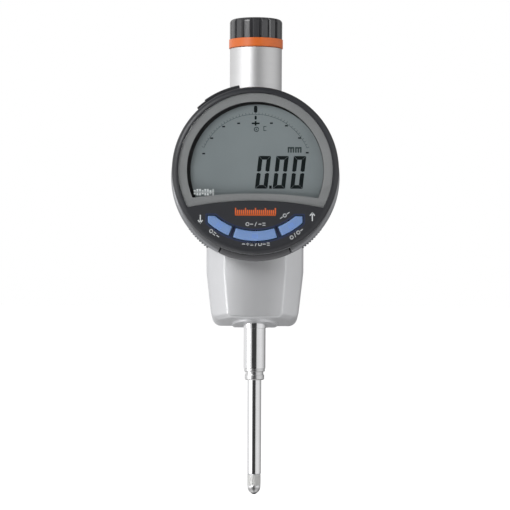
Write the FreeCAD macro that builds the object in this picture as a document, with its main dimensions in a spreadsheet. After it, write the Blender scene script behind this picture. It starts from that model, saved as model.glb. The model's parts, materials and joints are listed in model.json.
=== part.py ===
import FreeCAD, Part
import math
import os
import re

from FreeCAD import Placement, Rotation, Vector
import Sketcher

# An electronic dial indicator, in millimetres.
# The origin is on the spindle's axis at the stem's shoulder. The display faces -Y and +Z is up.
# Display pieces are drawn about the display's own centre and then lifted by display_height.

SIZE_TABLE = """
# Stem and spindle: radii, and heights above the stem's shoulder
stem_radius 4.0
stem_root_radius 5.0
stem_root_height 3.2
stem_fillet_radius 4.25
stem_bore_radius 3.3
stem_band_height -14.7
stem_end_height -15.9
nose_top_height -9.0
nose_collar_radius 3.82
nose_neck_radius 3.25
nose_neck_height -17.1
nose_radius 3.55
nose_end_height -18.9
nose_gap 0.08
wiper_top_height -7.8
guide_top_height 5.0
spindle_radius 2.5
running_gap 0.03
edge_break 0.3
spindle_end_height -53.5
spindle_top_height 81.5

# Contact point
contact_thread_radius 1.25
contact_thread_length 5.5
contact_hole_depth 6.5
contact_radius 2.42
contact_knurl_height -57.3
contact_plain_radius 2.38
contact_shoulder_height -57.9
contact_end_angle 57.0
contact_end_steps 8
contact_end_rise 2.68
contact_knurl_count 28
contact_knurl_depth 0.16
contact_knurl_half_width 0.24
contact_chamfer 0.2
groove_reach 0.1
ball_radius 1.5
ball_height -59.3

# Casting: the sections are six-sided, with a front facet and two side facets
casting_front -11.0
casting_back 9.0
facet_depth 5.0
shoulder_half_front 11.1
shoulder_half_width 17.6
shoulder_height 20.5
base_half_front 9.4
base_half_width 15.3
casting_top 80.0
underside_height 0.5
underside_slope 13.0
underside_lift 1.66
pad_radius 8.25
pad_height 4.5
pad_slope_height 0.9
floor_height 7.0
roof_height 76.0
cavity_front -7.5
cavity_half_front 12.0
cavity_step -3.0
cavity_half_back 14.6
cavity_step_floor 9.5
front_edge_radius 1.0
side_edge_radius 2.2
base_edge_radius 3.4
top_edge_radius 5.0
envelope_margin 0.05

# Spindle's upper bearing, sleeve and cap
roof_bush_radius 5.0
roof_flange_radius 6.2
roof_flange_height 74.0
roof_bush_top 79.4
sleeve_radius 9.5
sleeve_bore_radius 7.0
sleeve_spigot_radius 7.8
sleeve_spigot_height 78.5
sleeve_top 102.2
ring_radius 9.85
ring_bore_radius 6.97
ring_top 105.3
cap_radius 9.6
cap_top 112.7
cap_spigot_radius 6.92
cap_spigot_height 97.5
cap_bore_radius 4.4
cap_bore_top 110.5
cap_flute_count 18
cap_flute_depth 0.75
cap_flute_half_width 0.8
cap_edge_radius 1.4
end_screw_radius 3.0
end_screw_head 2.0
end_screw_thread 1.0
end_screw_length 4.0
end_screw_slot_half 0.4

# Spring, bumper, carrier, scale and guide
bumper_radius 6.0
bumper_bore_radius 2.9
carrier_foot 10.0
carrier_hub_top 18.0
carrier_hub_radius 4.6
carrier_web_inset 1.0
plate_half_width 4.8
plate_back -4.0
plate_front -4.7
strip_front -5.4
strip_half_width 4.5
strip_foot 12.0
strip_top 48.0
pin_height 14.0
pin_radius 1.0
pin_end -12.2
pin_start -2.6
clamp_screw_radius 0.9
clamp_screw_low 12.0
clamp_screw_high 16.0
clamp_screw_sink 0.2
rail_inner -9.5
rail_outer -14.5
rail_slot_floor -12.7
rail_back 4.0
rail_foot 8.0
rail_web 1.2
rail_side_gap 0.2
rail_top 52.0
rail_screw_x -13.45
rail_screw_low 11.0
rail_screw_high 48.0
spring_radius 3.5
spring_wire_radius 0.28
spring_turns 20

# Reader
reader_front -6.5
reader_back -5.9
reader_half_width 8.0
reader_foot 36.0
reader_top 50.9
chip_front -7.4
chip_half_width 3.0
chip_foot 40.0
chip_top 46.0
reader_screw_x 6.5
reader_screw_low 37.6
reader_screw_high 49.3
reader_post_radius 1.5
flex_half_width 2.0
flex_thickness 0.15
flex_foot 48.5
flex_end -18.65

# Hub
hub_radius 9.0
hub_bore_radius 4.5
hub_spigot_radius 5.5
hub_spigot_back -8.5
hub_front -14.0
hub_screw_circle 6.75
retainer_radius 12.0
retainer_front -15.2
washer_radius 11.8
washer_gap 0.02

# Display unit: depths are along Y, radii are about the display's centre
display_height 56.55
case_back -11.5
case_floor -13.4
case_front -21.0
case_radius 29.2
case_bore_radius 27.2
chin_radius 29.95
chin_drop 2.2
chin_back -12.6
chin_edge_radius 1.6
chin_clear_radius 33.35
grip_rib_radius 0.4
grip_rib_back -13.4
grip_rib_front -20.3
grip_reach 31.5
grip_reach_step 0.1
cover_radius 29.5
cover_bore_radius 27.6
cover_inner -24.0
cover_front -26.5
cover_edge_radius 1.9
window_radius 27.35
window_front -26.4
mask_front -25.75
mask_back -25.55
window_film 0.02
mask_opening_radius 24.15
window_arch_radius 116.5
window_arch_top -10.8
opening_arch_radius 159.0
opening_arch_top -8.2
opening_margin 0.5
lcd_frame_radius 26.5
lcd_frame_opening 24.1
lcd_radius 24.45
lcd_front -22.9
lcd_back -21.5
lcd_frame_drop 2.2
lcd_view_rise 0.05
lcd_pocket_drop 0.6
lcd_fit 0.05
reflector_inset 0.3
reflector_back -21.3
board_front -20.9
board_back -20.0
board_radius 26.5
strip_bar_half_length 12.0
strip_bar_width 1.6
strip_bar_upper 17.0
strip_bar_lower -4.5

# Pieces on the display's board: heights are above the display's centre
processor_half_width 5.0
processor_height 1.4
processor_foot 13.2
processor_top 19.2
crystal_radius 1.1
crystal_start 8.0
crystal_end 14.0
crystal_level -12.5
memory_start -14.0
memory_end -9.5
memory_height 1.2
memory_foot -13.0
memory_top -9.0
capacitor_length 1.6
capacitor_height 0.8
capacitor_foot 9.4
capacitor_top 10.3
flex_socket_half_width 3.0
flex_socket_half_height 1.2
flex_socket_gap 0.1

# Keys: the band they lie in, and the spaces between them
key_inner_radius 21.4
key_outer_radius 24.9
key_front -26.75
key_gap 0.22
key_middle_start 251.6
key_middle_sweep 36.8
key_left_start 215.0
key_right_start 292.0
key_side_sweep 33.0
key_side_limit 16.7
key_side_top -16.1
key_flange_margin 0.5
key_flange_front -24.0
key_flange_back -23.35
key_stem_radius 1.5
key_stem_back -21.8
key_middle_radius 23.15
key_side_angle 34.0
dome_height 0.42
dome_radius 2.2
dome_top_radius 1.2

# Case screws, seal and bosses
case_screw_circle 26.2
boss_radius 1.35
boss_hole_radius 0.8
boss_clearance 0.12
case_screw_sink 1.1
case_head_gap 0.1
seal_inner_radius 27.7
seal_outer_radius 28.6
seal_depth 0.6

# Battery drawer: heights are below the display's centre
door_start 246.6
door_sweep 46.8
door_slit 1.1
door_inner_radius 29.9
door_back -13.75
drawer_half_width 6.9
drawer_top -17.75
drawer_back -13.55
drawer_floor -14.2
drawer_front -19.6
drawer_gap 0.1
drawer_overlap 0.6
drawer_mouth_depth 2.0
drawer_bore_overlap 2.0
cell_radius 5.8
cell_height -24.0
cell_back -14.2
cell_front -19.6
cell_gap 0.05
contact_strip 0.25
contact_width 3.0
minus_contact_low 3.0
minus_contact_high 1.0
plus_contact_gap 0.4
plus_contact_foot 2.4

# Data port at the upper left
port_start 100.9
port_sweep 25.0
port_tab_sweep 7.9
port_tab_overlap 1.0
port_tab_back_inset 1.0
port_tab_front_inset 1.4
port_slit 0.25
port_web 1.0
port_middle 113.4
port_outer_radius 31.0
port_tab_radius 30.7
port_inner_radius 27.25
port_back -13.8
port_front -20.1
port_gap 0.1
socket_inner 21.0
socket_half_width 6.4
socket_back -14.4
socket_front -19.4
socket_slot_inner 22.6
socket_slot_half_width 5.2
socket_slot_back -15.2
socket_slot_front -18.6
plug_inner 25.6
port_pin_radius 0.35
port_pin_pitch 1.8
port_pin_end 25.2

# Rear cover and lug
gasket_back 9.4
plate_outer 11.6
plate_half_top 16.6
plate_half_base 14.9
plate_foot 2.4
plate_shoulder 20.5
plate_top 79.4
plate_corner_radius 3.0
gasket_border 2.0
lug_half_thickness 2.5
lug_bore_radius 3.25
lug_bore_y 18.6
lug_end_radius 5.5
lug_root_half 8.0
lug_root_depth 1.5
back_screw_x 11.5
back_screw_low 4.8
back_screw_high 77.4

# Screws: head radius, head height, thread radius, length under the head
small_head_radius 1.1
small_head_height 0.8
small_thread_radius 0.7
small_length 2.6
case_head_radius 1.4
case_head_height 1.0
case_thread_radius 0.75
case_length 11.4
hub_head_radius 1.8
hub_head_height 1.2
hub_thread_radius 1.0
hub_length 7.3
back_head_radius 1.9
back_head_height 1.3
back_thread_radius 1.0
back_length 6.5
socket_share 0.55
"""

SIZES = {}
NODES = []
HEIGHTS = {}

doc = FreeCAD.newDocument("dial_indicator")
sheet = doc.addObject("Spreadsheet::Sheet", "Sizes")


def fill_sheet():
    """Writes each size in a row of its own: the name in column A, the number with its alias in column B."""
    for row, line in enumerate(SIZE_TABLE.strip().splitlines(), 1):
        if not line or line.startswith("#"):
            sheet.set(f"A{row}", line.strip("# "))
            continue
        alias, number = line.split()
        sheet.set(f"A{row}", alias.replace("_", " "))
        sheet.set(f"B{row}", number)
        sheet.setAlias(f"B{row}", alias)
        SIZES[alias] = float(number)
    doc.recompute()


def linked(formula):
    """Turns the size names in a formula into references to the sheet."""
    return re.sub(r"[a-z][a-z_]*", lambda word: refer(word.group(0)), str(formula))


def refer(word):
    return "Sizes." + word if word in SIZES else word


def bind(thing, formulas):
    for path, formula in formulas.items():
        thing.setExpression(path, linked(formula))


def put(thing, x="0", y="0", z="0"):
    bind(thing, {"Placement.Base.x": x, "Placement.Base.y": y, "Placement.Base.z": z})
    HEIGHTS[thing.Name] = z
    return thing


# Primitives and booleans

TURN = {"X": Rotation(Vector(0, 1, 0), 90), "Y": Rotation(Vector(1, 0, 0), -90), "Z": Rotation()}
FRONTWARD = Rotation(Vector(1, 0, 0), 90)
BACKWARD = Rotation(Vector(1, 0, 0), -90)


def round_bar(kind, name, sizes, low, high, axis, at):
    bar = doc.addObject(kind, name)
    bar.Placement = Placement(Vector(), TURN[axis])
    bind(bar, dict(sizes, Height=f"({high}) - ({low})"))
    first, second = at
    corner = {"X": (low, first, second), "Y": (first, low, second), "Z": (first, second, low)}[axis]
    return put(bar, *corner)


def rod(name, radius, low, high, axis="Z", at=("0", "0")):
    """A cylinder along an axis, from low to high, at the two other coordinates."""
    return round_bar("Part::Cylinder", name, {"Radius": radius}, low, high, axis, at)


def block(name, x, y, z):
    """A box between two formulas on each axis."""
    box = doc.addObject("Part::Box", name)
    sides = zip(("Length", "Width", "Height"), (x, y, z))
    bind(box, {side: f"({high}) - ({low})" for side, (low, high) in sides})
    return put(box, x[0], y[0], z[0])


def rounded(name, base, radius, wanted):
    """A primitive with the edges that pass a test rounded."""
    doc.recompute()
    result = doc.addObject("Part::Fillet", name)
    result.Base = base
    size = SIZES[radius]
    result.Edges = [(i, size, size) for i, edge in enumerate(base.Shape.Edges, 1) if wanted(edge)]
    return result


def join(name, *pieces):
    whole = doc.addObject("Part::MultiFuse", name)
    whole.Shapes = list(pieces)
    return whole


def cut(name, base, *tools):
    result = doc.addObject("Part::Cut", name)
    result.Base = base
    result.Tool = tools[0] if len(tools) == 1 else join(name + "_tools", *tools)
    return result


def common(name, *pieces):
    result = doc.addObject("Part::MultiCommon", name)
    result.Shapes = list(pieces)
    return result


def group(name, pieces):
    """Separate solids that share one node."""
    whole = doc.addObject("Part::Compound", name)
    whole.Links = list(pieces)
    return whole


def tube(name, outer, inner, low, high, axis="Z", at=("0", "0")):
    return cut(name, rod(name + "_outside", outer, low, high, axis, at),
               rod(name + "_inside", inner, low, high, axis, at))


def pie(name, radius, back, front, start, sweep):
    """A slice of a disc about the display's centre; angles run anticlockwise from +X seen from the front."""
    part_disc = doc.addObject("Part::Cylinder", name)
    part_disc.Placement = Placement(Vector(), about_display(start) * FRONTWARD)
    bind(part_disc, {"Radius": radius, "Height": f"({back}) - ({front})", "Angle": sweep})
    return put(part_disc, "0", back, "0")


def band(name, inner, outer, back, front, start, sweep):
    """A slice of a ring about the display's centre."""
    return cut(name, pie(name + "_slice", outer, back, front, start, sweep),
               rod(name + "_core", inner, front, back, "Y"))


def about_display(degrees):
    """A turn about the display's axis, anticlockwise seen from the front."""
    return Rotation(Vector(0, -1, 0), degrees)


def at_port(thing):
    """Turns a piece drawn along +X about the display's centre to the data port's angle."""
    turned_piece = group(thing.Name + "_at_port", [thing])
    turned_piece.Placement = Placement(Vector(), about_display(SIZES["port_middle"]))
    return turned_piece


def on_display(thing, name=None):
    """Lifts a finished display piece from the display's own centre to its place."""
    thing.setExpression("Placement.Base.z", linked(f"display_height + ({HEIGHTS.get(thing.Name, 0)})"))
    thing.Label = name or thing.Name
    return keep(thing)


def keep(thing):
    NODES.append(thing)
    return thing


# Sketched pieces

def new_body(name):
    return doc.addObject("PartDesign::Body", name)


def outline(body, plane, points, offset="0"):
    """A closed outline of straight lines, each corner held by two formulas."""
    sketch = body.newObject("Sketcher::SketchObject", body.Name + "_sketch")
    support = [feature for feature in body.Origin.OriginFeatures if feature.Role == plane][0]
    sketch.AttachmentSupport = (support, [""])
    sketch.MapMode = "FlatFace"
    sketch.setExpression("AttachmentOffset.Base.z", linked(offset))
    count = len(points)
    rough = [Rotation(Vector(0, 0, 1), 360.0 * i / count).multVec(Vector(40, 0, 0)) for i in range(count)]
    for i in range(count):
        sketch.addGeometry(Part.LineSegment(rough[i], rough[(i + 1) % count]), False)
    for i in range(count):
        sketch.addConstraint(Sketcher.Constraint("Coincident", i, 2, (i + 1) % count, 1))
    for i, (across, up) in enumerate(points):
        hold(sketch, "DistanceX", i, rough[i].x, across)
        hold(sketch, "DistanceY", i, rough[i].y, up)
    return sketch


def hold(sketch, kind, line, start, formula):
    """Ties one coordinate of a line's first point to a formula."""
    number = sketch.addConstraint(Sketcher.Constraint(kind, -1, 1, line, 1, start))
    sketch.setExpression(f"Constraints[{number}]", linked(formula))


def turned(name, points, make_node=True):
    """A piece turned about Z from an outline of radius and height pairs."""
    body = new_body(name)
    sketch = outline(body, "XZ_Plane", points)
    turning = body.newObject("PartDesign::Revolution", name + "_turning")
    turning.Profile = sketch
    turning.ReferenceAxis = (sketch, ["V_Axis"])
    turning.Angle = 360
    body.Tip = turning
    return keep(body) if make_node else body


def pad(body, sketch, length, both=False):
    feature = body.newObject("PartDesign::Pad", body.Name + "_pad")
    feature.Profile = sketch
    feature.Midplane = both
    feature.setExpression("Length", linked(length))
    body.Tip = feature
    return feature


def through_pocket(body, sketch, length):
    """A pocket that cuts the same length to each side of its sketch."""
    feature = body.newObject("PartDesign::Pocket", body.Name + "_pocket")
    feature.Profile = sketch
    feature.Midplane = True
    feature.setExpression("Length", linked(length))
    body.Tip = feature
    return feature


def fillet(body, radius, wanted):
    """Rounds the edges of the body's last feature that pass a test of their ends and middle."""
    doc.recompute()
    base = body.Tip
    edges = [f"Edge{i}" for i, edge in enumerate(base.Shape.Edges, 1) if wanted(edge)]
    feature = body.newObject("PartDesign::Fillet", body.Name + "_fillet")
    feature.Base = (base, edges)
    feature.setExpression("Radius", linked(radius))
    body.Tip = feature
    return feature


def around(body, feature, count):
    """Repeats a cut round the Z axis."""
    doc.recompute()
    pattern = body.newObject("PartDesign::PolarPattern", body.Name + "_pattern")
    pattern.Originals = [feature]
    axis = [origin for origin in body.Origin.OriginFeatures if origin.Role == "Z_Axis"][0]
    pattern.Axis = (axis, [""])
    pattern.Angle = 360
    pattern.setExpression("Occurrences", linked(count))
    body.Tip = pattern
    return pattern


# Screws

def screw(family, rotation, place):
    """A socket-head screw whose head stands on the plane at its place and points along its rotated Z."""
    name = family + "_screw"
    head = rod(name + "_head", family + "_head_radius", "0", family + "_head_height")
    thread = rod(name + "_thread", family + "_thread_radius", "-" + family + "_length", "0")
    socket = doc.addObject("Part::Prism", name + "_socket")
    socket.Polygon = 6
    bind(socket, {"Circumradius": f"{family}_head_radius * socket_share",
                  "Height": f"{family}_head_height * socket_share"})
    put(socket, "0", "0", f"{family}_head_height * (1 - socket_share)")
    whole = cut(name, join(name + "_blank", head, thread), socket)
    whole.Placement = Placement(Vector(), rotation)
    return put(whole, *place)


def screws(name, family, rotation, places):
    return group(name, [screw(family, rotation, place) for place in places])


def on_circle(radius, angles):
    """Places on a circle about the display's axis, as formulas for X and Z."""
    return [(f"{radius} * cos({angle} * 1deg)", f"{radius} * sin({angle} * 1deg)") for angle in angles]


HUB_SCREW_ANGLES = (90, 210, 330)
CASE_SCREW_ANGLES = (60, 150, 212, 328)
GRIP_RIB_TURNS = (48.2, 46.2, 44.2, 42.2, 40.2, 38.2, 36.2, 34.2, 32.2)
CAPACITOR_PLACES = (13, 16, -15, -18)
BACK_SCREWS = [("back_screw_x", "back_screw_low"), ("-back_screw_x", "back_screw_low"),
               ("back_screw_x", "back_screw_high"), ("-back_screw_x", "back_screw_high")]
RAIL_SCREWS = [("rail_screw_x", "rail_screw_low"), ("rail_screw_x", "rail_screw_high")]
READER_SCREWS = [("-reader_screw_x", "reader_screw_low"), ("reader_screw_x", "reader_screw_high")]
NEAR = 0.01


# The fixed body

def casting_section(half_front, half_width):
    facet_back = "casting_front + facet_depth"
    right = [(half_front, "casting_front"), (half_width, facet_back), (half_width, "casting_back")]
    left = [(f"-({across})", along) for across, along in reversed(right)]
    return right + left


def is_upright(edge, across, along):
    """True for an edge that rises at least 10 mm and passes near a plan position."""
    ends = [vertex.Point for vertex in edge.Vertexes]
    if len(ends) < 2 or abs(ends[0].z - ends[1].z) < 10:
        return False
    return any(abs(abs(end.x) - across) < 0.2 and abs(end.y - along) < 0.2 for end in ends)


def is_base_side(edge):
    """True for the edges between the underside and the two sides."""
    ends = [vertex.Point for vertex in edge.Vertexes]
    low = all(end.z < SIZES["stem_radius"] for end in ends)
    return low and all(end.x * ends[0].x > 0 and abs(end.x) > SIZES["shoulder_half_front"] for end in ends)


def is_base_front(edge):
    """True for the edge between the underside and the front facet."""
    ends = [vertex.Point for vertex in edge.Vertexes]
    front = SIZES["casting_front"]
    low = all(end.z < SIZES["stem_radius"] * 2 and abs(end.y - front) < NEAR for end in ends)
    return low and abs(ends[0].x - ends[-1].x) > SIZES["base_half_front"]


def make_casting():
    body = new_body("casting")
    lower = outline(body, "XY_Plane", casting_section("base_half_front", "base_half_width"))
    upper = outline(body, "XY_Plane", casting_section("shoulder_half_front", "shoulder_half_width"),
                    "shoulder_height")
    loft = body.newObject("PartDesign::AdditiveLoft", "casting_flank")
    loft.Profile = lower
    loft.Sections = [upper]
    loft.Ruled = True
    column = outline(body, "XY_Plane", casting_section("shoulder_half_front", "shoulder_half_width"),
                     "shoulder_height")
    pad(body, column, "casting_top - shoulder_height")
    beyond = "casting_front * 2"
    slope = outline(body, "YZ_Plane", [
        (beyond, "-floor_height"), ("casting_back * 2", "-floor_height"),
        ("casting_back * 2", "underside_height"),
        ("(underside_lift - underside_height) / tan(underside_slope * 1deg)", "underside_height"),
        (beyond, f"underside_lift - ({beyond}) * tan(underside_slope * 1deg)")])
    through_pocket(body, slope, "shoulder_half_width * 4")
    fillet(body, "base_edge_radius", is_base_side)
    front = (SIZES["shoulder_half_front"], SIZES["casting_front"])
    side = (SIZES["shoulder_half_width"], SIZES["casting_front"] + SIZES["facet_depth"])
    fillet(body, "side_edge_radius", lambda edge: is_upright(edge, *side))
    fillet(body, "front_edge_radius", lambda edge: is_upright(edge, *front) or is_base_front(edge))
    return body


def is_top_corner(edge):
    """True for the edges along Y at the top of the casting's envelope."""
    ends = [vertex.Point for vertex in edge.Vertexes]
    return all(end.z > 0 for end in ends) and abs(ends[0].y - ends[-1].y) > 1


def body_housing():
    casting = make_casting()
    stem_pad = rod("stem_pad", "pad_radius", "0", "pad_height")
    bevel = block("pad_bevel", ("-pad_radius * 2", "pad_radius * 2"), ("-pad_radius * 2", "pad_radius"),
                  ("-pad_radius", "0"))
    bevel = group("pad_bevel_turned", [bevel])
    bevel.Placement = Placement(Vector(), Rotation(Vector(1, 0, 0), -SIZES["underside_slope"]))
    put(bevel, z="pad_slope_height")
    half = "shoulder_half_width + envelope_margin"
    envelope = block("casting_envelope_box", (f"-({half})", half), ("casting_front * 2", "casting_back * 2"),
                     ("-casting_top", "casting_top + envelope_margin"))
    envelope = rounded("casting_envelope", envelope, "top_edge_radius", is_top_corner)
    outside = join("housing_outside", common("casting_with_top", casting, envelope),
                   cut("bevelled_pad", stem_pad, bevel))
    front_room = block("front_room", ("-cavity_half_front", "cavity_half_front"),
                       ("cavity_front", "casting_back"), ("floor_height", "roof_height"))
    back_room = block("back_room", ("-cavity_half_back", "cavity_half_back"),
                      ("cavity_step", "casting_back"), ("cavity_step_floor", "roof_height"))
    stem_hole = join("stem_hole",
                     rod("stem_root_hole", "stem_root_radius", "stem_root_height", "floor_height"),
                     rod("stem_fillet_hole", "stem_fillet_radius", "0", "stem_root_height"))
    bush_hole = rod("bush_hole", "roof_bush_radius", "roof_height", "casting_top")
    sleeve_seat = rod("sleeve_seat", "sleeve_spigot_radius", "sleeve_spigot_height", "casting_top")
    hub_hole = rod("hub_hole", "hub_spigot_radius", "casting_front", "cavity_front", "Y",
                   ("0", "display_height"))
    hub_tappings = hub_holes("casting_front", "retainer_front + hub_length")
    thread_end = "plate_outer - back_head_height - back_length"
    back_tappings = [rod("back_tapping", "back_thread_radius", thread_end, "casting_back", "Y", place)
                     for place in BACK_SCREWS]
    rail_tappings = [rod("rail_tapping", "small_thread_radius", "cavity_step + rail_web - small_length",
                         "cavity_step", "Y", place) for place in RAIL_SCREWS]
    hollow = cut("housing_hollow", outside, front_room, back_room, stem_hole, bush_hole, sleeve_seat,
                 hub_hole, *hub_tappings, *back_tappings, *rail_tappings)
    posts = [rod("reader_post", "reader_post_radius", "cavity_front - edge_break", "reader_front", "Y", place)
             for place in READER_SCREWS]
    post_holes = [rod("reader_tapping", "small_thread_radius", "reader_back - small_length", "reader_front",
                      "Y", place) for place in READER_SCREWS]
    keep(cut("body_housing", join("housing_with_posts", hollow, *posts), *post_holes))


def stem():
    turned("stem", [
        ("stem_bore_radius", "stem_band_height"), ("stem_radius", "stem_band_height"),
        ("stem_radius", "0"), ("stem_fillet_radius", "0"), ("stem_fillet_radius", "stem_root_height"),
        ("stem_root_radius", "stem_root_height"), ("stem_root_radius", "floor_height"),
        ("stem_bore_radius", "floor_height")])


def stem_nose():
    bore = "spindle_radius + nose_gap"
    turned("stem_nose", [
        (bore, "nose_end_height"), ("nose_radius - edge_break", "nose_end_height"),
        ("nose_radius", "nose_end_height + edge_break"), ("nose_radius", "nose_neck_height"),
        ("nose_neck_radius", "nose_neck_height"), ("nose_neck_radius", "stem_end_height"),
        ("nose_collar_radius - edge_break / 2", "stem_end_height"),
        ("nose_collar_radius", "stem_end_height + edge_break / 2"),
        ("nose_collar_radius", "stem_band_height"),
        ("stem_bore_radius", "stem_band_height"), ("stem_bore_radius", "nose_top_height"),
        (bore, "nose_top_height")])


def spindle_bearings():
    bore = "spindle_radius + running_gap"
    keep(tube("wiper_seal", "stem_bore_radius", bore, "nose_top_height", "wiper_top_height"))
    keep(tube("lower_guide_bush", "stem_bore_radius", bore, "wiper_top_height", "guide_top_height"))
    turned("upper_guide_bush", [
        (bore, "roof_flange_height"), ("roof_flange_radius", "roof_flange_height"),
        ("roof_flange_radius", "roof_height"), ("roof_bush_radius", "roof_height"),
        ("roof_bush_radius", "roof_bush_top"), (bore, "roof_bush_top")])


def spindle_sleeve():
    turned("spindle_tube", [
        ("sleeve_bore_radius", "sleeve_spigot_height"), ("sleeve_spigot_radius", "sleeve_spigot_height"),
        ("sleeve_spigot_radius", "casting_top"), ("sleeve_radius", "casting_top"),
        ("sleeve_radius", "sleeve_top - edge_break"), ("sleeve_radius - edge_break", "sleeve_top"),
        ("sleeve_bore_radius", "sleeve_top")])


def bumper():
    keep(tube("bumper", "bumper_radius", "bumper_bore_radius", "floor_height", "carrier_foot"))


def return_spring():
    """A helix of round wire between the carrier and the upper bearing."""
    wire = SIZES["spring_wire_radius"]
    low = SIZES["carrier_hub_top"] + wire
    rise = SIZES["roof_flange_height"] - wire - low
    helix = Part.makeHelix(rise / SIZES["spring_turns"], rise, SIZES["spring_radius"])
    section = Part.Wire(Part.makeCircle(wire, Vector(SIZES["spring_radius"], 0, 0), Vector(0, 1, 0)))
    spring = doc.addObject("Part::Feature", "return_spring")
    spring.Shape = Part.Wire(helix.Edges).makePipeShell([section], True, True)
    spring.Placement = Placement(Vector(0, 0, low), Rotation())
    keep(spring)


def guide_rail():
    rail = block("rail_bar", ("rail_outer", "rail_inner"), ("cavity_step", "rail_back"),
                 ("rail_foot", "rail_top"))
    foot_room = block("rail_foot_room", ("rail_outer", "-cavity_half_front + rail_side_gap"),
                      ("cavity_step", "rail_back"), ("rail_foot", "cavity_step_floor"))
    slot = block("rail_slot", ("rail_slot_floor", "rail_inner"),
                 ("-pin_radius - running_gap", "pin_radius + running_gap"), ("rail_foot", "rail_top"))
    seats = [rod("rail_seat", "small_head_radius", "cavity_step + rail_web", "rail_back", "Y", place)
             for place in RAIL_SCREWS]
    holes = [rod("rail_hole", "small_thread_radius", "cavity_step", "rail_back", "Y", place)
             for place in RAIL_SCREWS]
    keep(cut("guide_rail", rail, foot_room, slot, *seats, *holes))
    keep(screws("rail_screws", "small", BACKWARD,
                [(across, "cavity_step + rail_web", height) for across, height in RAIL_SCREWS]))


def reader():
    board = block("reader_blank", ("-reader_half_width", "reader_half_width"),
                  ("reader_front", "reader_back"), ("reader_foot", "reader_top"))
    holes = [rod("reader_hole", "small_thread_radius", "reader_front", "reader_back", "Y", place)
             for place in READER_SCREWS]
    keep(cut("reader_board", board, *holes))
    keep(block("reader_chip", ("-chip_half_width", "chip_half_width"), ("chip_front", "reader_front"),
               ("chip_foot", "chip_top")))
    keep(screws("reader_screws", "small", BACKWARD,
                [(across, "reader_back", height) for across, height in READER_SCREWS]))


def flex_cable():
    """A flat cable up the reader board and out through the middle of the hub."""
    rise = block("flex_rise", ("-flex_half_width", "flex_half_width"),
                 ("reader_front - flex_thickness", "reader_front"),
                 ("flex_foot", "display_height + flex_thickness"))
    run = block("flex_run", ("-flex_half_width", "flex_half_width"), ("flex_end", "reader_front"),
                ("display_height", "display_height + flex_thickness"))
    keep(join("flex_cable", rise, run))


def turning_hub():
    centre = ("0", "display_height")
    flange = rod("hub_flange", "hub_radius", "hub_front", "casting_front", "Y", centre)
    spigot = rod("hub_spigot", "hub_spigot_radius", "casting_front", "hub_spigot_back", "Y", centre)
    bore = rod("hub_bore", "hub_bore_radius", "hub_front", "hub_spigot_back", "Y", centre)
    holes = hub_holes("hub_front", "casting_front")
    keep(cut("turning_hub", join("hub_blank", flange, spigot), bore, *holes))
    ring = tube("retainer_blank", "retainer_radius", "hub_bore_radius", "retainer_front", "hub_front", "Y",
                centre)
    keep(cut("retaining_ring", ring, *hub_holes("retainer_front", "hub_front")))
    keep(screws("hub_screws", "hub", FRONTWARD,
                [(across, "retainer_front", f"display_height + {up}")
                 for across, up in on_circle("hub_screw_circle", HUB_SCREW_ANGLES)]))


def hub_holes(low, high):
    return [rod("hub_screw_hole", "hub_thread_radius", low, high, "Y", (across, f"display_height + {up}"))
            for across, up in on_circle("hub_screw_circle", HUB_SCREW_ANGLES)]


def plate_outline(inset="0"):
    """The rear cover's outline, which follows the casting's."""
    right = [(f"plate_half_base - {inset}", f"plate_foot + {inset}"),
             (f"plate_half_top - {inset}", "plate_shoulder"),
             (f"plate_half_top - {inset}", f"plate_top - {inset}")]
    left = [(f"-({across})", height) for across, height in reversed(right)]
    return right + left


def is_corner(edge):
    """True for a straight edge along Y at a corner of the rear cover."""
    ends = [vertex.Point for vertex in edge.Vertexes]
    if len(ends) < 2 or abs(ends[0].x - ends[1].x) > NEAR or abs(ends[0].z - ends[1].z) > NEAR:
        return False
    return abs(ends[0].z - SIZES["plate_shoulder"]) > 1


def plate_body(name, back, front):
    """A plate of the rear cover's outline between two depths; the sketch's normal points to the front."""
    body = new_body(name)
    pad(body, outline(body, "XZ_Plane", plate_outline(), f"-({back})"), f"({back}) - ({front})")
    fillet(body, "plate_corner_radius", is_corner)
    return body


def rear_cover():
    gasket = plate_body("gasket_blank", "gasket_back", "casting_back")
    window = block("gasket_window", ("-plate_half_base + gasket_border", "plate_half_base - gasket_border"),
                   ("casting_back", "gasket_back"), ("floor_height", "roof_height"))
    keep(cut("back_gasket", gasket, window, *back_holes("casting_back", "gasket_back")))
    plate = plate_body("cover_plate", "plate_outer", "gasket_back")
    lug_end = rod("lug_end", "lug_end_radius", "-lug_half_thickness", "lug_half_thickness", "X",
                  ("lug_bore_y", "display_height"))
    lug_arm = block("lug_arm", ("-lug_half_thickness", "lug_half_thickness"), ("plate_outer", "lug_bore_y"),
                    ("display_height - lug_end_radius", "display_height + lug_end_radius"))
    lug_root = block("lug_root", ("-lug_half_thickness", "lug_half_thickness"),
                     ("gasket_back", "plate_outer + lug_root_depth"),
                     ("display_height - lug_root_half", "display_height + lug_root_half"))
    bore = rod("lug_bore", "lug_bore_radius", "-lug_half_thickness", "lug_half_thickness", "X",
               ("lug_bore_y", "display_height"))
    heads = [rod("back_head_seat", "back_head_radius + edge_break / 2", "plate_outer - back_head_height",
                 "plate_outer", "Y", place) for place in BACK_SCREWS]
    keep(cut("lug_back_plate", join("lug_plate_blank", plate, lug_end, lug_arm, lug_root), bore,
             *heads, *back_holes("gasket_back", "plate_outer")))
    keep(screws("back_screws", "back", BACKWARD,
                [(across, "plate_outer - back_head_height", height) for across, height in BACK_SCREWS]))


def back_holes(low, high):
    return [rod("back_hole", "back_thread_radius", low, high, "Y", place) for place in BACK_SCREWS]


# The sliding spindle

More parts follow.
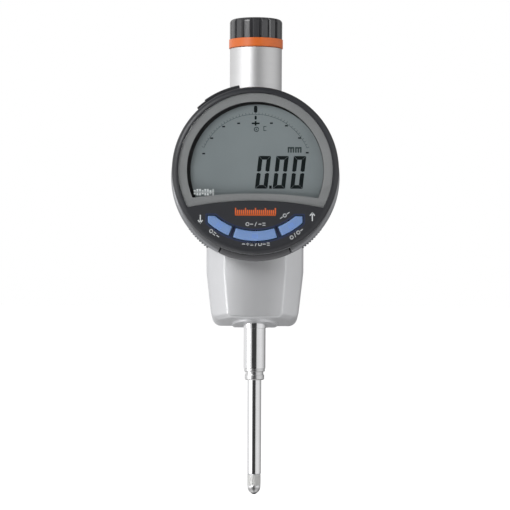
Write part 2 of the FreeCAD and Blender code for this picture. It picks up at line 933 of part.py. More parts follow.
def spindle():
    turned("spindle", [
        ("contact_thread_radius", "spindle_end_height"),
        ("spindle_radius - edge_break", "spindle_end_height"),
        ("spindle_radius", "spindle_end_height + edge_break"),
        ("spindle_radius", "spindle_top_height - edge_break"),
        ("spindle_radius - edge_break", "spindle_top_height"), ("end_screw_thread", "spindle_top_height"),
        ("end_screw_thread", "spindle_top_height - end_screw_length"),
        ("0", "spindle_top_height - end_screw_length"), ("0", "spindle_end_height + contact_hole_depth"),
        ("contact_thread_radius", "spindle_end_height + contact_hole_depth")])


def contact_point():
    end = [contact_end(step) for step in range(int(SIZES["contact_end_steps"]), -1, -1)]
    body = turned("contact_blank", [
        ("0", end[0][1]), *end,
        ("contact_plain_radius", "contact_knurl_height"),
        ("contact_radius", "contact_knurl_height + groove_reach"),
        ("contact_radius", "spindle_end_height - contact_chamfer"),
        ("contact_radius - contact_chamfer", "spindle_end_height"),
        ("contact_thread_radius", "spindle_end_height"),
        ("contact_thread_radius", "spindle_end_height + contact_thread_length"),
        ("0", "spindle_end_height + contact_thread_length")], make_node=False)
    groove = outline(body, "XY_Plane", [
        ("contact_radius - contact_knurl_depth", "0"),
        ("contact_radius + groove_reach", "-contact_knurl_half_width"),
        ("contact_radius + groove_reach", "contact_knurl_half_width")], "contact_knurl_height + groove_reach")
    flute = body.newObject("PartDesign::Pocket", "contact_flute")
    flute.Profile = groove
    flute.Reversed = True
    flute.setExpression("Length", linked("spindle_end_height - contact_knurl_height"))
    body.Tip = flute
    around(body, flute, "contact_knurl_count")
    keep(cut("contact_point", body, ball("ball_seat")))


def contact_end(step):
    """A place on the rounded end, counted from its shoulder towards the ball."""
    angle = f"contact_end_angle * {step} / contact_end_steps * 1deg"
    return (f"contact_plain_radius * cos({angle})",
            f"contact_shoulder_height - contact_end_rise * sin({angle})")


def ball(name):
    sphere = doc.addObject("Part::Sphere", name)
    bind(sphere, {"Radius": "ball_radius"})
    return put(sphere, "0", "0", "ball_height")


def scale_carrier():
    hub = rod("carrier_hub", "carrier_hub_radius", "carrier_foot", "carrier_hub_top")
    plate = block("carrier_plate", ("-plate_half_width", "plate_half_width"), ("plate_front", "plate_back"),
                  ("carrier_foot", "strip_top"))
    web_half = "plate_half_width - carrier_web_inset"
    web = block("carrier_web", (f"-({web_half})", web_half), ("plate_front", "-spindle_radius"),
                ("carrier_foot", "carrier_hub_top"))
    bore = rod("carrier_bore", "spindle_radius", "carrier_foot", "carrier_hub_top")
    pin_hole = rod("carrier_pin_hole", "pin_radius", "-carrier_hub_radius", "pin_start", "X",
                   ("0", "pin_height"))
    clamp_holes = clamp_bars("carrier_clamp_hole")
    keep(cut("scale_carrier", join("carrier_blank", hub, plate, web), bore, pin_hole, *clamp_holes))
    keep(block("scale_strip", ("-strip_half_width", "strip_half_width"), ("strip_front", "plate_front"),
               ("strip_foot", "strip_top")))
    keep(group("carrier_screws", clamp_bars("clamp_screw")))
    keep(rod("guide_pin", "pin_radius", "pin_end", "pin_start", "X", ("0", "pin_height")))


def clamp_bars(name):
    return [rod(name, "clamp_screw_radius", "spindle_radius", "carrier_hub_radius - clamp_screw_sink", "Y",
                ("0", height)) for height in ("clamp_screw_low", "clamp_screw_high")]


def end_screw():
    head = rod("end_screw_cap", "end_screw_radius", "spindle_top_height",
               "spindle_top_height + end_screw_head")
    thread = rod("end_screw_shank", "end_screw_thread", "spindle_top_height - end_screw_length",
                 "spindle_top_height")
    slot = block("end_screw_slot", ("-end_screw_radius", "end_screw_radius"),
                 ("-end_screw_slot_half", "end_screw_slot_half"),
                 ("spindle_top_height + end_screw_head / 2", "spindle_top_height + end_screw_head"))
    keep(cut("end_screw", join("end_screw_blank", head, thread), slot))


# The display unit

def arched_disc(name, radius, arch_radius, arch_top, back, front):
    """A disc whose lower part is cut away along a shallow arch."""
    disc = rod(name + "_disc", radius, front, back, "Y")
    arch = rod(name + "_arch", arch_radius, front, back, "Y", ("0", f"({arch_top}) - ({arch_radius})"))
    return cut(name, disc, arch)


def case_bosses(name, low, high, radius):
    places = on_circle("case_screw_circle", CASE_SCREW_ANGLES)
    return [rod(name, radius, low, high, "Y", place) for place in places]


def display_case():
    drum = rod("case_drum", "case_radius", "case_front", "case_back", "Y")
    chin = case_chin("case_chin")
    room = rod("case_room", "case_bore_radius", "case_front", "case_floor", "Y")
    outside = join("case_outside", drum, chin, *grip_ribs("grip_rib"))
    shell = cut("case_shell", outside, room)
    bosses = common("case_boss_set", rod("case_boss_limit", "case_bore_radius + edge_break", "case_front",
                                         "case_floor", "Y"),
                    group("case_boss_bars",
                          case_bosses("case_boss", "case_front", "case_floor", "boss_radius")))
    hub_hole = rod("case_hub_hole", "hub_radius + running_gap", "case_floor", "case_back", "Y")
    seal_groove = tube("case_seal_groove", "seal_outer_radius", "seal_inner_radius", "case_front",
                       "case_front + seal_depth", "Y")
    door_room = band("case_door_room", "door_inner_radius - drawer_gap", "chin_clear_radius",
                     "door_back + drawer_gap", "case_front",
                     SIZES["door_start"] - SIZES["door_slit"], "door_sweep + door_slit * 2")
    drawer_room = block("case_drawer_room",
                        ("-drawer_half_width - drawer_gap", "drawer_half_width + drawer_gap"),
                        ("drawer_front - drawer_gap", "drawer_back + drawer_gap / 2"),
                        ("-chin_radius - chin_drop", "-case_bore_radius + drawer_bore_overlap"))
    port_room = band("case_port_room", "port_inner_radius - port_gap", "chin_clear_radius",
                     "port_back + port_gap", "port_front - port_gap",
                     SIZES["port_start"] - SIZES["port_slit"],
                     "port_sweep + port_tab_sweep + port_slit * 2")
    sinks = case_bosses("case_screw_sink", "case_back - case_screw_sink", "case_back",
                        "case_head_radius + case_head_gap")
    holes = case_bosses("case_screw_hole", "case_front", "case_back", "boss_hole_radius")
    on_display(cut("display_case", join("case_with_bosses", shell, bosses), hub_hole, seal_groove, door_room,
                   drawer_room, port_room, *sinks, *holes))


def case_chin(name):
    """The flare round the lower half, an eccentric disc with rounded edges."""
    disc = rod(name + "_disc", "chin_radius", "case_front", "chin_back", "Y", ("0", "-chin_drop"))
    return rounded(name, disc, "chin_edge_radius", is_circle)


def grip_ribs(name):
    """Ribs on both sides of the flare, a grip for turning the display; they stand out more at its foot."""
    ribs = []
    for step, turn in enumerate(GRIP_RIB_TURNS):
        reach = f"(grip_reach + grip_reach_step * {step} - grip_rib_radius)"
        for place in on_circle(reach, (270 - turn, 270 + turn)):
            ribs.append(rod(name, "grip_rib_radius", "grip_rib_front", "grip_rib_back", "Y", place))
    return ribs


def case_seal():
    on_display(tube("case_seal", "seal_outer_radius", "seal_inner_radius", "case_front",
                    "case_front + seal_depth", "Y"))


def case_screws():
    places = [(across, "case_back - case_screw_sink", up)
              for across, up in on_circle("case_screw_circle", CASE_SCREW_ANGLES)]
    on_display(screws("case_screws", "case", BACKWARD, places))


def friction_washer():
    on_display(tube("friction_washer", "washer_radius", "hub_radius + running_gap", "hub_front + washer_gap",
                    "case_floor", "Y"))


def key_region(name, side, margin, back, front):
    """One key's outline in the key band, grown by a margin."""
    grow = margin_degrees(margin)
    inner = f"key_inner_radius - ({margin})"
    outer = f"key_outer_radius + ({margin})"
    if side == "centre":
        return band(name, inner, outer, back, front, SIZES["key_middle_start"] - grow,
                    f"key_middle_sweep + {2 * grow}")
    start = SIZES["key_left_start"] if side == "left" else SIZES["key_right_start"] - grow
    ring = band(name + "_ring", inner, outer, back, front, start, f"key_side_sweep + {grow}")
    reach = f"key_side_limit + ({margin})"
    sides = (f"-({reach})", "0") if side == "left" else ("0", reach)
    limit = block(name + "_limit", sides, (front, back), (f"-({outer})", f"key_side_top + ({margin})"))
    return common(name, ring, limit)


def margin_degrees(margin):
    """The angle that a margin fills at the key band, in degrees."""
    return math.degrees(SIZES.get(margin, 0.0) / SIZES["key_middle_radius"])


def key_places():
    return {"centre": 270, "left": 270 - SIZES["key_side_angle"], "right": 270 + SIZES["key_side_angle"]}


def front_cover():
    disc = rod("cover_drum", "cover_radius", "cover_front", "case_front", "Y")
    drum = rounded("cover_rounded", disc, "cover_edge_radius", is_front_circle)
    room = rod("cover_room", "cover_bore_radius", "cover_inner", "case_front", "Y")
    recess = arched_disc("cover_recess", "window_radius", "window_arch_radius", "window_arch_top",
                         "mask_back", "cover_front")
    opening = arched_disc("cover_opening", "mask_opening_radius + opening_margin", "opening_arch_radius",
                          "opening_arch_top - opening_margin", "cover_inner", "mask_back")
    key_holes = [key_region("key_hole_" + side, side, "key_gap", "cover_inner", "cover_front")
                 for side in key_places()]
    shell = cut("cover_shell", drum, room)
    bosses = common("cover_boss_set", rod("cover_boss_limit", "cover_bore_radius + edge_break", "cover_inner",
                                          "case_front", "Y"),
                    group("cover_boss_bars",
                          case_bosses("cover_boss", "cover_inner", "case_front", "boss_radius")))
    holes = case_bosses("cover_tapping", "cover_inner", "case_front", "case_thread_radius")
    on_display(cut("front_cover", join("cover_with_bosses", shell, bosses), recess, opening, *key_holes,
                   *holes))


def is_circle(edge):
    return len(edge.Vertexes) == 1


def is_front_circle(edge):
    return is_circle(edge) and abs(edge.Vertexes[0].Y - SIZES["cover_front"]) < NEAR


def window():
    fit = "edge_break / 3"
    on_display(arched_disc("window", f"window_radius - {fit}", "window_arch_radius",
                           f"window_arch_top + {fit}",
                           "mask_front - window_film", "window_front"))
    mask = arched_disc("mask_blank", f"window_radius - {fit}", "window_arch_radius",
                       f"window_arch_top + {fit}",
                       "mask_back", "mask_front")
    opening = arched_disc("mask_opening", "mask_opening_radius", "opening_arch_radius", "opening_arch_top",
                          "mask_back", "mask_front")
    on_display(cut("window_mask", mask, opening))


def lcd():
    arch = "opening_arch_radius"
    top = "opening_arch_top"
    frame = arched_disc("lcd_frame_blank", "lcd_frame_radius", arch, f"{top} - lcd_frame_drop",
                        "board_front", "cover_inner")
    view = arched_disc("lcd_frame_view", "lcd_frame_opening", arch, f"{top} + lcd_view_rise",
                       "lcd_front", "cover_inner")
    pocket = arched_disc("lcd_frame_pocket", "lcd_radius", arch, f"{top} - lcd_pocket_drop",
                         "board_front", "lcd_front")
    notches = case_bosses("lcd_frame_notch", "cover_inner", "board_front", "boss_radius + boss_clearance")
    on_display(cut("lcd_frame", frame, view, pocket, *notches))
    on_display(arched_disc("lcd_glass", "lcd_radius - lcd_fit", arch, f"{top} - lcd_pocket_drop + lcd_fit",
                           "lcd_back", "lcd_front"))
    on_display(arched_disc("lcd_reflector", "lcd_radius - reflector_inset", arch,
                           f"{top} - lcd_pocket_drop + reflector_inset", "reflector_back", "lcd_back"))
    bars = [block("lcd_bar", ("-strip_bar_half_length", "strip_bar_half_length"),
                  ("reflector_back", "board_front"), (height, f"{height} + strip_bar_width"))
            for height in ("strip_bar_upper", "strip_bar_lower")]
    on_display(group("lcd_strips", bars))


def main_board():
    disc = rod("board_disc", "board_radius", "board_front", "board_back", "Y")
    notches = case_bosses("board_notch", "board_front", "board_back", "boss_radius + boss_clearance")
    on_display(cut("main_board", disc, *notches))
    board_parts()
    on_display(block("flex_socket", ("-flex_socket_half_width", "flex_socket_half_width"),
                     ("board_back", "flex_end - flex_socket_gap"),
                     ("-flex_socket_half_height", "flex_socket_half_height")))
    cone = {"Radius1": "dome_top_radius", "Radius2": "dome_radius"}
    domes = [round_bar("Part::Cone", "key_dome", cone, "board_front - dome_height", "board_front", "Y", place)
             for place in on_circle("key_middle_radius", key_places().values())]
    on_display(group("key_domes", domes))


def board_parts():
    """The processor, and the small pieces beside it, on the back of the board."""
    back = "board_back"
    on_display(block("processor", ("-processor_half_width", "processor_half_width"),
                     (back, f"{back} + processor_height"), ("processor_foot", "processor_top")))
    crystal = rod("crystal", "crystal_radius", "crystal_start", "crystal_end", "X",
                  (f"{back} + crystal_radius", "crystal_level"))
    memory = block("memory_chip", ("memory_start", "memory_end"), (back, f"{back} + memory_height"),
                   ("memory_foot", "memory_top"))
    capacitors = [block("capacitor", (f"{across}", f"{across} + capacitor_length"),
                        (back, f"{back} + capacitor_height"), ("capacitor_foot", "capacitor_top"))
                  for across in CAPACITOR_PLACES]
    on_display(group("board_parts", [crystal, memory, *capacitors]))


def keys():
    """Each key has a visible cap, a flange behind the cover and a stem that reaches its dome."""
    for side, angle in key_places().items():
        cap = key_region(f"key_cap_{side}", side, "0", "key_flange_front", "key_front")
        flange = key_region(f"key_flange_{side}", side, "key_flange_margin", "key_flange_back",
                            "key_flange_front")
        foot = rod("key_stem", "key_stem_radius", "key_flange_back", "key_stem_back", "Y",
                   on_circle("key_middle_radius", [angle])[0])
        on_display(join("key_" + side, cap, flange, foot))


def battery_drawer():
    door_ring = band("door_ring", "door_inner_radius", "chin_clear_radius", "door_back", "case_front",
                     SIZES["door_start"], "door_sweep")
    door = common("drawer_door", door_ring, case_chin("door_chin"))
    sides = ("-drawer_half_width", "drawer_half_width")
    box = block("drawer_box", sides, ("drawer_front", "drawer_back"),
                ("-door_inner_radius - drawer_overlap", "drawer_top"))
    pocket = rod("drawer_pocket", "cell_radius + cell_gap", "drawer_front", "drawer_floor", "Y",
                 ("0", "cell_height"))
    mouth = block("drawer_mouth", ("-contact_width", "contact_width"), ("drawer_front", "drawer_floor"),
                  ("cell_height + cell_radius - drawer_mouth_depth", "drawer_top"))
    on_display(cut("battery_tray", join("drawer_blank", door, box), pocket, mouth))
    on_display(rod("battery_cell", "cell_radius", "cell_front", "cell_back", "Y", ("0", "cell_height")))


def battery_contacts():
    half = "contact_width / 2"
    on_display(block("minus_contact", (f"-{half}", half), ("board_back", "board_back + contact_strip"),
                     ("cell_height - minus_contact_low", "cell_height + cell_radius - minus_contact_high")))
    top = "cell_height + cell_radius + cell_gap"
    upright = block("plus_upright", (f"-{half}", half), ("board_back", "drawer_floor - plus_contact_gap"),
                    (f"{top}", f"{top} + contact_strip"))
    foot = block("plus_foot", (f"-{half}", half), ("board_back", "board_back + contact_strip"),
                 (f"{top}", f"{top} + plus_contact_foot"))
    on_display(join("plus_contact", upright, foot))


def data_port():
    shell = block("socket_shell", ("socket_inner", "port_inner_radius - port_gap"),
                  ("socket_front", "socket_back"),
                  ("-socket_half_width", "socket_half_width"))
    slot = block("socket_slot", ("socket_slot_inner", "port_inner_radius"),
                 ("socket_slot_front", "socket_slot_back"),
                 ("-socket_slot_half_width", "socket_slot_half_width"))
    middle = "(socket_slot_front + socket_slot_back) / 2"
    holes = port_pins("socket_pin_hole", "socket_inner", "socket_slot_inner", middle)
    curve = rod("socket_limit", "port_inner_radius - port_gap", "socket_front", "socket_back", "Y")
    on_display(at_port(common("socket_body", cut("socket_hollow", shell, slot, *holes), curve)),
               "data_socket")
    on_display(at_port(group("pin_row", port_pins("data_pin", "socket_inner", "port_pin_end", middle))),
               "data_pins")
    cover = band("port_cover_band", "port_inner_radius", "port_outer_radius", "port_back", "port_front",
                 SIZES["port_start"], "port_sweep")
    tab_start = SIZES["port_start"] + SIZES["port_sweep"] - SIZES["port_tab_overlap"]
    tab = band("port_cover_tab", "port_inner_radius + port_web", "port_tab_radius",
               "port_back - port_tab_back_inset", "port_front + port_tab_front_inset", tab_start,
               "port_tab_sweep")
    plug = at_port(block("port_plug", ("plug_inner", "port_inner_radius + port_web"),
                         ("socket_slot_front + port_gap", "socket_slot_back - port_gap"),
                         ("-socket_slot_half_width + port_gap", "socket_slot_half_width - port_gap")))
    on_display(join("port_cover", cover, tab, plug))


def port_pins(name, low, high, depth):
    return [rod(name, "port_pin_radius", low, high, "X", (depth, f"{step} * port_pin_pitch"))
            for step in (-2, -1, 0, 1, 2)]


# The cap that closes the sleeve

def top_cap():
    keep(tube("cap_ring", "ring_radius", "ring_bore_radius", "sleeve_top", "ring_top"))
    body = turned("top_cap", [
        ("cap_bore_radius", "cap_spigot_height"), ("cap_spigot_radius", "cap_spigot_height"),
        ("cap_spigot_radius", "ring_top"), ("cap_radius", "ring_top"), ("cap_radius", "cap_top"),
        ("0", "cap_top"), ("0", "cap_bore_top"), ("cap_bore_radius", "cap_bore_top")])
    top = SIZES["cap_top"]
    fillet(body, "cap_edge_radius", lambda edge: all(abs(vertex.Z - top) < NEAR for vertex in edge.Vertexes))
    groove = outline(body, "XY_Plane", [
        ("cap_radius - cap_flute_depth", "0"), ("cap_radius + groove_reach", "-cap_flute_half_width"),
        ("cap_radius + groove_reach", "cap_flute_half_width")], "ring_top")
    flute = body.newObject("PartDesign::Pocket", "cap_flute")
    flute.Profile = groove
    flute.Reversed = True
    flute.setExpression("Length", linked("cap_top - ring_top"))
    body.Tip = flute
    around(body, flute, "cap_flute_count")


def check_objects():
    """Stops unless every object computed and every piece is a sound solid."""
    doc.recompute()
    bad = [thing.Name for thing in doc.Objects if "Invalid" in thing.State or "Error" in thing.State]
    for thing in NODES:
        if thing.Shape.isNull() or not thing.Shape.isValid() or not thing.Shape.Solids:
            bad.append(thing.Label)
    if bad:
        raise RuntimeError("these did not compute: " + ", ".join(bad))


def write_parts():
    os.makedirs("parts", exist_ok=True)
    for thing in NODES:
        thing.Shape.exportStep(f"parts/{thing.Label}.step")
        print(thing.Label, len(thing.Shape.Solids), round(thing.Shape.Volume, 2))


def build():
    fill_sheet()
    body_housing()
    stem()
    stem_nose()
    spindle_bearings()
    spindle_sleeve()
    bumper()
    return_spring()
    guide_rail()
    reader()
    flex_cable()
    turning_hub()
    rear_cover()
    spindle()
    contact_point()
    keep(ball("contact_ball"))
    scale_carrier()
    end_screw()
    display_case()
    case_seal()
    case_screws()
    friction_washer()
    front_cover()
    window()
    lcd()
    main_board()
    keys()
    battery_drawer()
    battery_contacts()
    data_port()
    top_cap()
    check_objects()
    write_parts()


build()
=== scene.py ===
import json
import math

import bmesh
import bpy
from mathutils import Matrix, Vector


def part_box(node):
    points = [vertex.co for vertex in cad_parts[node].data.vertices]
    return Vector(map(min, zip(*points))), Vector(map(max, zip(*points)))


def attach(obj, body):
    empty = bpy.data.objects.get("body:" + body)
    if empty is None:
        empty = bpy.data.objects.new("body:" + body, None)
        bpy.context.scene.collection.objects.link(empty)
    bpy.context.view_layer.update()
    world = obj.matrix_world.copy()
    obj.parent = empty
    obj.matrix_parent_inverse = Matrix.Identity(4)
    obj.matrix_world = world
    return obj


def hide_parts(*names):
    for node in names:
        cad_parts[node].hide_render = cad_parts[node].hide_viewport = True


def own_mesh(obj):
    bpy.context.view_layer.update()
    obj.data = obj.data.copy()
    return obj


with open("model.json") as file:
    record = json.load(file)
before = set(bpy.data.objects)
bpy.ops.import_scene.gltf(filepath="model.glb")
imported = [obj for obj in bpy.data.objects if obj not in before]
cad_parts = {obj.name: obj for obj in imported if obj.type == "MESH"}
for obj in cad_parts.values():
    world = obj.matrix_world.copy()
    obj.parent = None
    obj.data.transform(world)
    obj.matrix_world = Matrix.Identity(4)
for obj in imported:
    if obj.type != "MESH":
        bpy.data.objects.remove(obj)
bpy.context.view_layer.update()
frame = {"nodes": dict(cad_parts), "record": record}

# Looks of an electronic dial indicator. The frame is in metres; lengths given in millimetres are
# scaled by MM.

MM = 0.001
nodes = frame["nodes"]


def low(node, axis):
    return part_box(node)[0][axis]


def high(node, axis):
    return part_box(node)[1][axis]


# The height of the display's centre, and the depths of its faces, in metres
DISPLAY = (low("front_cover", 2) + high("front_cover", 2)) / 2
COVER_FRONT = low("front_cover", 1)
LCD_FRONT = low("lcd_glass", 1)
MASK_FRONT = low("window_mask", 1)
KEY_FRONT = low("key_centre", 1)
KEY_ROOT = -0.0240


# Materials

class Surface:
    """Builds one material's nodes. Sizes are in millimetres."""

    def __init__(self, name):
        self.material = bpy.data.materials.new(name)
        self.material.use_nodes = True
        self.tree = self.material.node_tree
        self.tree.nodes.clear()

    def add(self, kind, inputs=None, **settings):
        node = self.tree.nodes.new(kind)
        for key, value in settings.items():
            setattr(node, key, value)
        for key, value in (inputs or {}).items():
            if isinstance(value, bpy.types.NodeSocket):
                self.tree.links.new(value, node.inputs[key])
            else:
                node.inputs[key].default_value = value
        return node

    def place(self, stretch=(1, 1, 1)):
        """The piece's own coordinates, stretched along its axes."""
        source = self.add("ShaderNodeTexCoord").outputs["Object"]
        return self.add("ShaderNodeMapping", {"Vector": source, "Scale": stretch}).outputs[0]

    def noise(self, size_mm, stretch=(1, 1, 1), detail=3.0, roughness=0.5):
        return self.add("ShaderNodeTexNoise", {
            "Vector": self.place(stretch), "Scale": 1 / (size_mm * MM), "Detail": detail,
            "Roughness": roughness}).outputs["Fac"]

    def between(self, factor, start, end):
        """A number that goes from start to end as the factor goes from 0.3 to 0.7."""
        return self.add("ShaderNodeMapRange", {
            "Value": factor, "From Min": 0.3, "From Max": 0.7, "To Min": start, "To Max": end}).outputs[0]

    def tint(self, factor, first, second):
        """A colour between two, by a factor from 0 to 1."""
        return self.add("ShaderNodeMix", {0: factor, 6: (*first, 1), 7: (*second, 1)},
                        data_type="RGBA").outputs[2]

    def bump(self, height, depth_mm, strength=1.0, normal=None):
        inputs = {"Height": height, "Distance": depth_mm * MM, "Strength": strength}
        if normal is not None:
            inputs["Normal"] = normal
        return self.add("ShaderNodeBump", inputs).outputs[0]

    def crown(self, radius_mm, normal):
        """Tilts the faces as a wide curve about Z would."""
        place = self.add("ShaderNodeTexCoord").outputs["Object"]
        across = self.add("ShaderNodeSeparateXYZ", {0: place}).outputs[0]
        square = self.add("ShaderNodeMath", {0: across, 1: 2.0}, operation="POWER").outputs[0]
        drop = self.add("ShaderNodeMath", {0: square, 1: -0.5 / (radius_mm * MM)},
                        operation="MULTIPLY").outputs[0]
        return self.add("ShaderNodeBump", {"Height": drop, "Distance": 1.0, "Normal": normal}).outputs[0]

    def soft_edges(self, radius_mm):
        return self.add("ShaderNodeBevel", {"Radius": radius_mm * MM}, samples=6).outputs[0]

    def edge_highlight_mask(self, bevelled):
        """Near 1 at sharp edges and 0 on faces: the mask of a painted edge highlight."""
        flat = self.add("ShaderNodeNewGeometry").outputs["Normal"]
        same = self.add("ShaderNodeVectorMath", {0: bevelled, 1: flat},
                        operation="DOT_PRODUCT").outputs["Value"]
        return self.add("ShaderNodeMapRange", {
            "Value": same, "From Min": 0.995, "From Max": 0.86, "To Min": 0.0, "To Max": 1.0}).outputs[0]

    def principled(self, **inputs):
        named = {key.replace("_", " "): value for key, value in inputs.items()}
        self.out(self.add("ShaderNodeBsdfPrincipled", named).outputs[0])

    def out(self, shader):
        self.add("ShaderNodeOutputMaterial", {"Surface": shader})


def shade(color, amount):
    """A lighter or darker shade of a colour."""
    return tuple(min(1.0, part * amount) for part in color)


def blasted(name, color, rough, grain_mm=0.22, edge_mm=0.25, diffuse=0.0, crown_mm=0.0):
    """Bead-blasted or painted metal: a fine even grain, a little cloudiness, and edges painted lighter as
    a highlight.
    A crown is the radius of a face that is slightly domed from side to side."""
    s = Surface(name)
    cloud = s.noise(14, detail=2)
    grain = s.noise(grain_mm, detail=2)
    edges = s.soft_edges(edge_mm)
    base = s.tint(cloud, shade(color, 0.95), shade(color, 1.05))
    # Painted highlight: the base colour is lighter along the edges, as if they caught the light.
    base = s.add("ShaderNodeMix", {0: s.edge_highlight_mask(edges), 6: base, 7: (*shade(color, 1.32), 1)},
                 data_type="RGBA").outputs[2]
    if crown_mm:
        edges = s.crown(crown_mm, edges)
    s.principled(Base_Color=base, Metallic=1.0 - diffuse,
                 Roughness=s.between(grain, rough - 0.05, rough + 0.06),
                 Normal=s.bump(grain, 0.012, 0.5, edges))
    return s.material


def turned_metal(name, color, rough, line_mm=0.12, depth_mm=0.0015, edge_mm=0.15):
    """Metal turned or ground about Z: fine rings, faint bands and softened edges."""
    s = Surface(name)
    rings = s.noise(line_mm, (0.02, 0.02, 1), detail=4, roughness=0.7)
    bands = s.noise(5, (0.2, 0.2, 1), detail=2)
    edges = s.soft_edges(edge_mm)
    base = s.tint(bands, shade(color, 0.95), shade(color, 1.04))
    s.principled(Base_Color=base, Metallic=1.0, Roughness=s.between(rings, rough - 0.04, rough + 0.05),
                 Normal=s.bump(rings, depth_mm, 0.6, edges))
    return s.material


def machined(name, color, rough, edge_mm=0.15):
    """Small machined pieces: a fine directionless scratch pattern."""
    s = Surface(name)
    scratch = s.noise(0.35, (1, 1, 0.15), detail=5, roughness=0.75)
    edges = s.soft_edges(edge_mm)
    base = s.tint(scratch, shade(color, 0.88), shade(color, 1.08))
    s.principled(Base_Color=base, Metallic=1.0, Roughness=s.between(scratch, rough - 0.06, rough + 0.08),
                 Normal=s.bump(scratch, 0.004, 0.5, edges))
    return s.material


def moulded(name, color, rough, grain_mm=0.3, grain_depth=0.006, edge_mm=0.2, coat=0.0):
    """Moulded plastic: an eroded-mould grain, faint colour drift and softened edges."""
    s = Surface(name)
    grain = s.noise(grain_mm, detail=3)
    drift = s.noise(9, detail=2)
    edges = s.soft_edges(edge_mm)
    base = s.tint(drift, shade(color, 0.92), shade(color, 1.1))
    s.principled(Base_Color=base, Roughness=s.between(grain, rough - 0.05, rough + 0.06),
                 Normal=s.bump(grain, grain_depth, 0.6, edges), Coat_Weight=coat, Coat_Roughness=0.2)
    return s.material


def rubber(name, color, rough=0.6, subsurface=0.0):
    """Rubber or silicone, with a soft surface and some light under it."""
    s = Surface(name)
    grain = s.noise(0.15, detail=2)
    drift = s.noise(4, detail=2)
    base = s.tint(drift, shade(color, 0.95), shade(color, 1.06))
    edges = s.soft_edges(0.15)
    s.principled(Base_Color=base, Roughness=s.between(grain, rough - 0.06, rough + 0.08),
                 Subsurface_Weight=subsurface, Subsurface_Radius=(0.4, 0.6, 1.0), Subsurface_Scale=0.0006,
                 Normal=s.bump(grain, 0.005, 0.5, edges))
    return s.material


def circuit_board(name):
    """Solder mask over copper lines that show as slightly lighter tracks."""
    s = Surface(name)
    tracks = s.add("ShaderNodeTexBrick", {
        "Vector": s.place(), "Scale": 500.0, "Color1": (0.02, 0.16, 0.07, 1),
        "Color2": (0.03, 0.2, 0.09, 1), "Mortar": (0.05, 0.28, 0.12, 1),
        "Mortar Size": 0.06}).outputs["Color"]
    s.principled(Base_Color=tracks, Roughness=s.between(s.noise(0.4), 0.28, 0.4), Specular_IOR_Level=0.6)
    return s.material


def clear_window(name):
    """A clear cover that lets light and shadow through and reflects at its faces."""
    s = Surface(name)
    facing = s.add("ShaderNodeLayerWeight", {"Blend": 0.5}).outputs["Facing"]
    grazing = s.add("ShaderNodeMath", {0: facing, 1: 5.0}, operation="POWER").outputs[0]
    mirror = s.add("ShaderNodeMapRange", {"Value": grazing, "To Min": 0.04, "To Max": 1.0}).outputs[0]
    behind = s.add("ShaderNodeNewGeometry").outputs["Backfacing"]
    front = s.add("ShaderNodeMath", {0: 1.0, 1: behind}, operation="SUBTRACT").outputs[0]
    amount = s.add("ShaderNodeMath", {0: mirror, 1: front}, operation="MULTIPLY").outputs[0]
    dust = s.between(s.noise(3, detail=4), 0.02, 0.05)
    gloss = s.add("ShaderNodeBsdfGlossy", {"Roughness": dust}).outputs[0]
    clear = s.add("ShaderNodeBsdfTransparent", {"Color": (0.985, 0.992, 0.99, 1)}).outputs[0]
    s.out(s.add("ShaderNodeMixShader", {0: amount, 1: clear, 2: gloss}).outputs[0])
    return s.material


def lcd_surface(name):
    """A reflective liquid crystal: an even grey-green ground."""
    s = Surface(name)
    drift = s.noise(16, detail=1)
    base = s.tint(drift, (0.168, 0.190, 0.200), (0.200, 0.224, 0.232))
    s.principled(Base_Color=base, Roughness=s.between(s.noise(0.1), 0.42, 0.5), Specular_IOR_Level=0.35)
    return s.material


def printed(name, color, rough=0.5, gloss=0.5):
    """Screen-printed ink, slightly uneven."""
    s = Surface(name)
    ink = s.noise(0.5, detail=3)
    s.principled(Base_Color=s.tint(ink, shade(color, 0.92), shade(color, 1.05)),
                 Roughness=s.between(ink, rough - 0.05, rough + 0.05), Specular_IOR_Level=gloss)
    return s.material


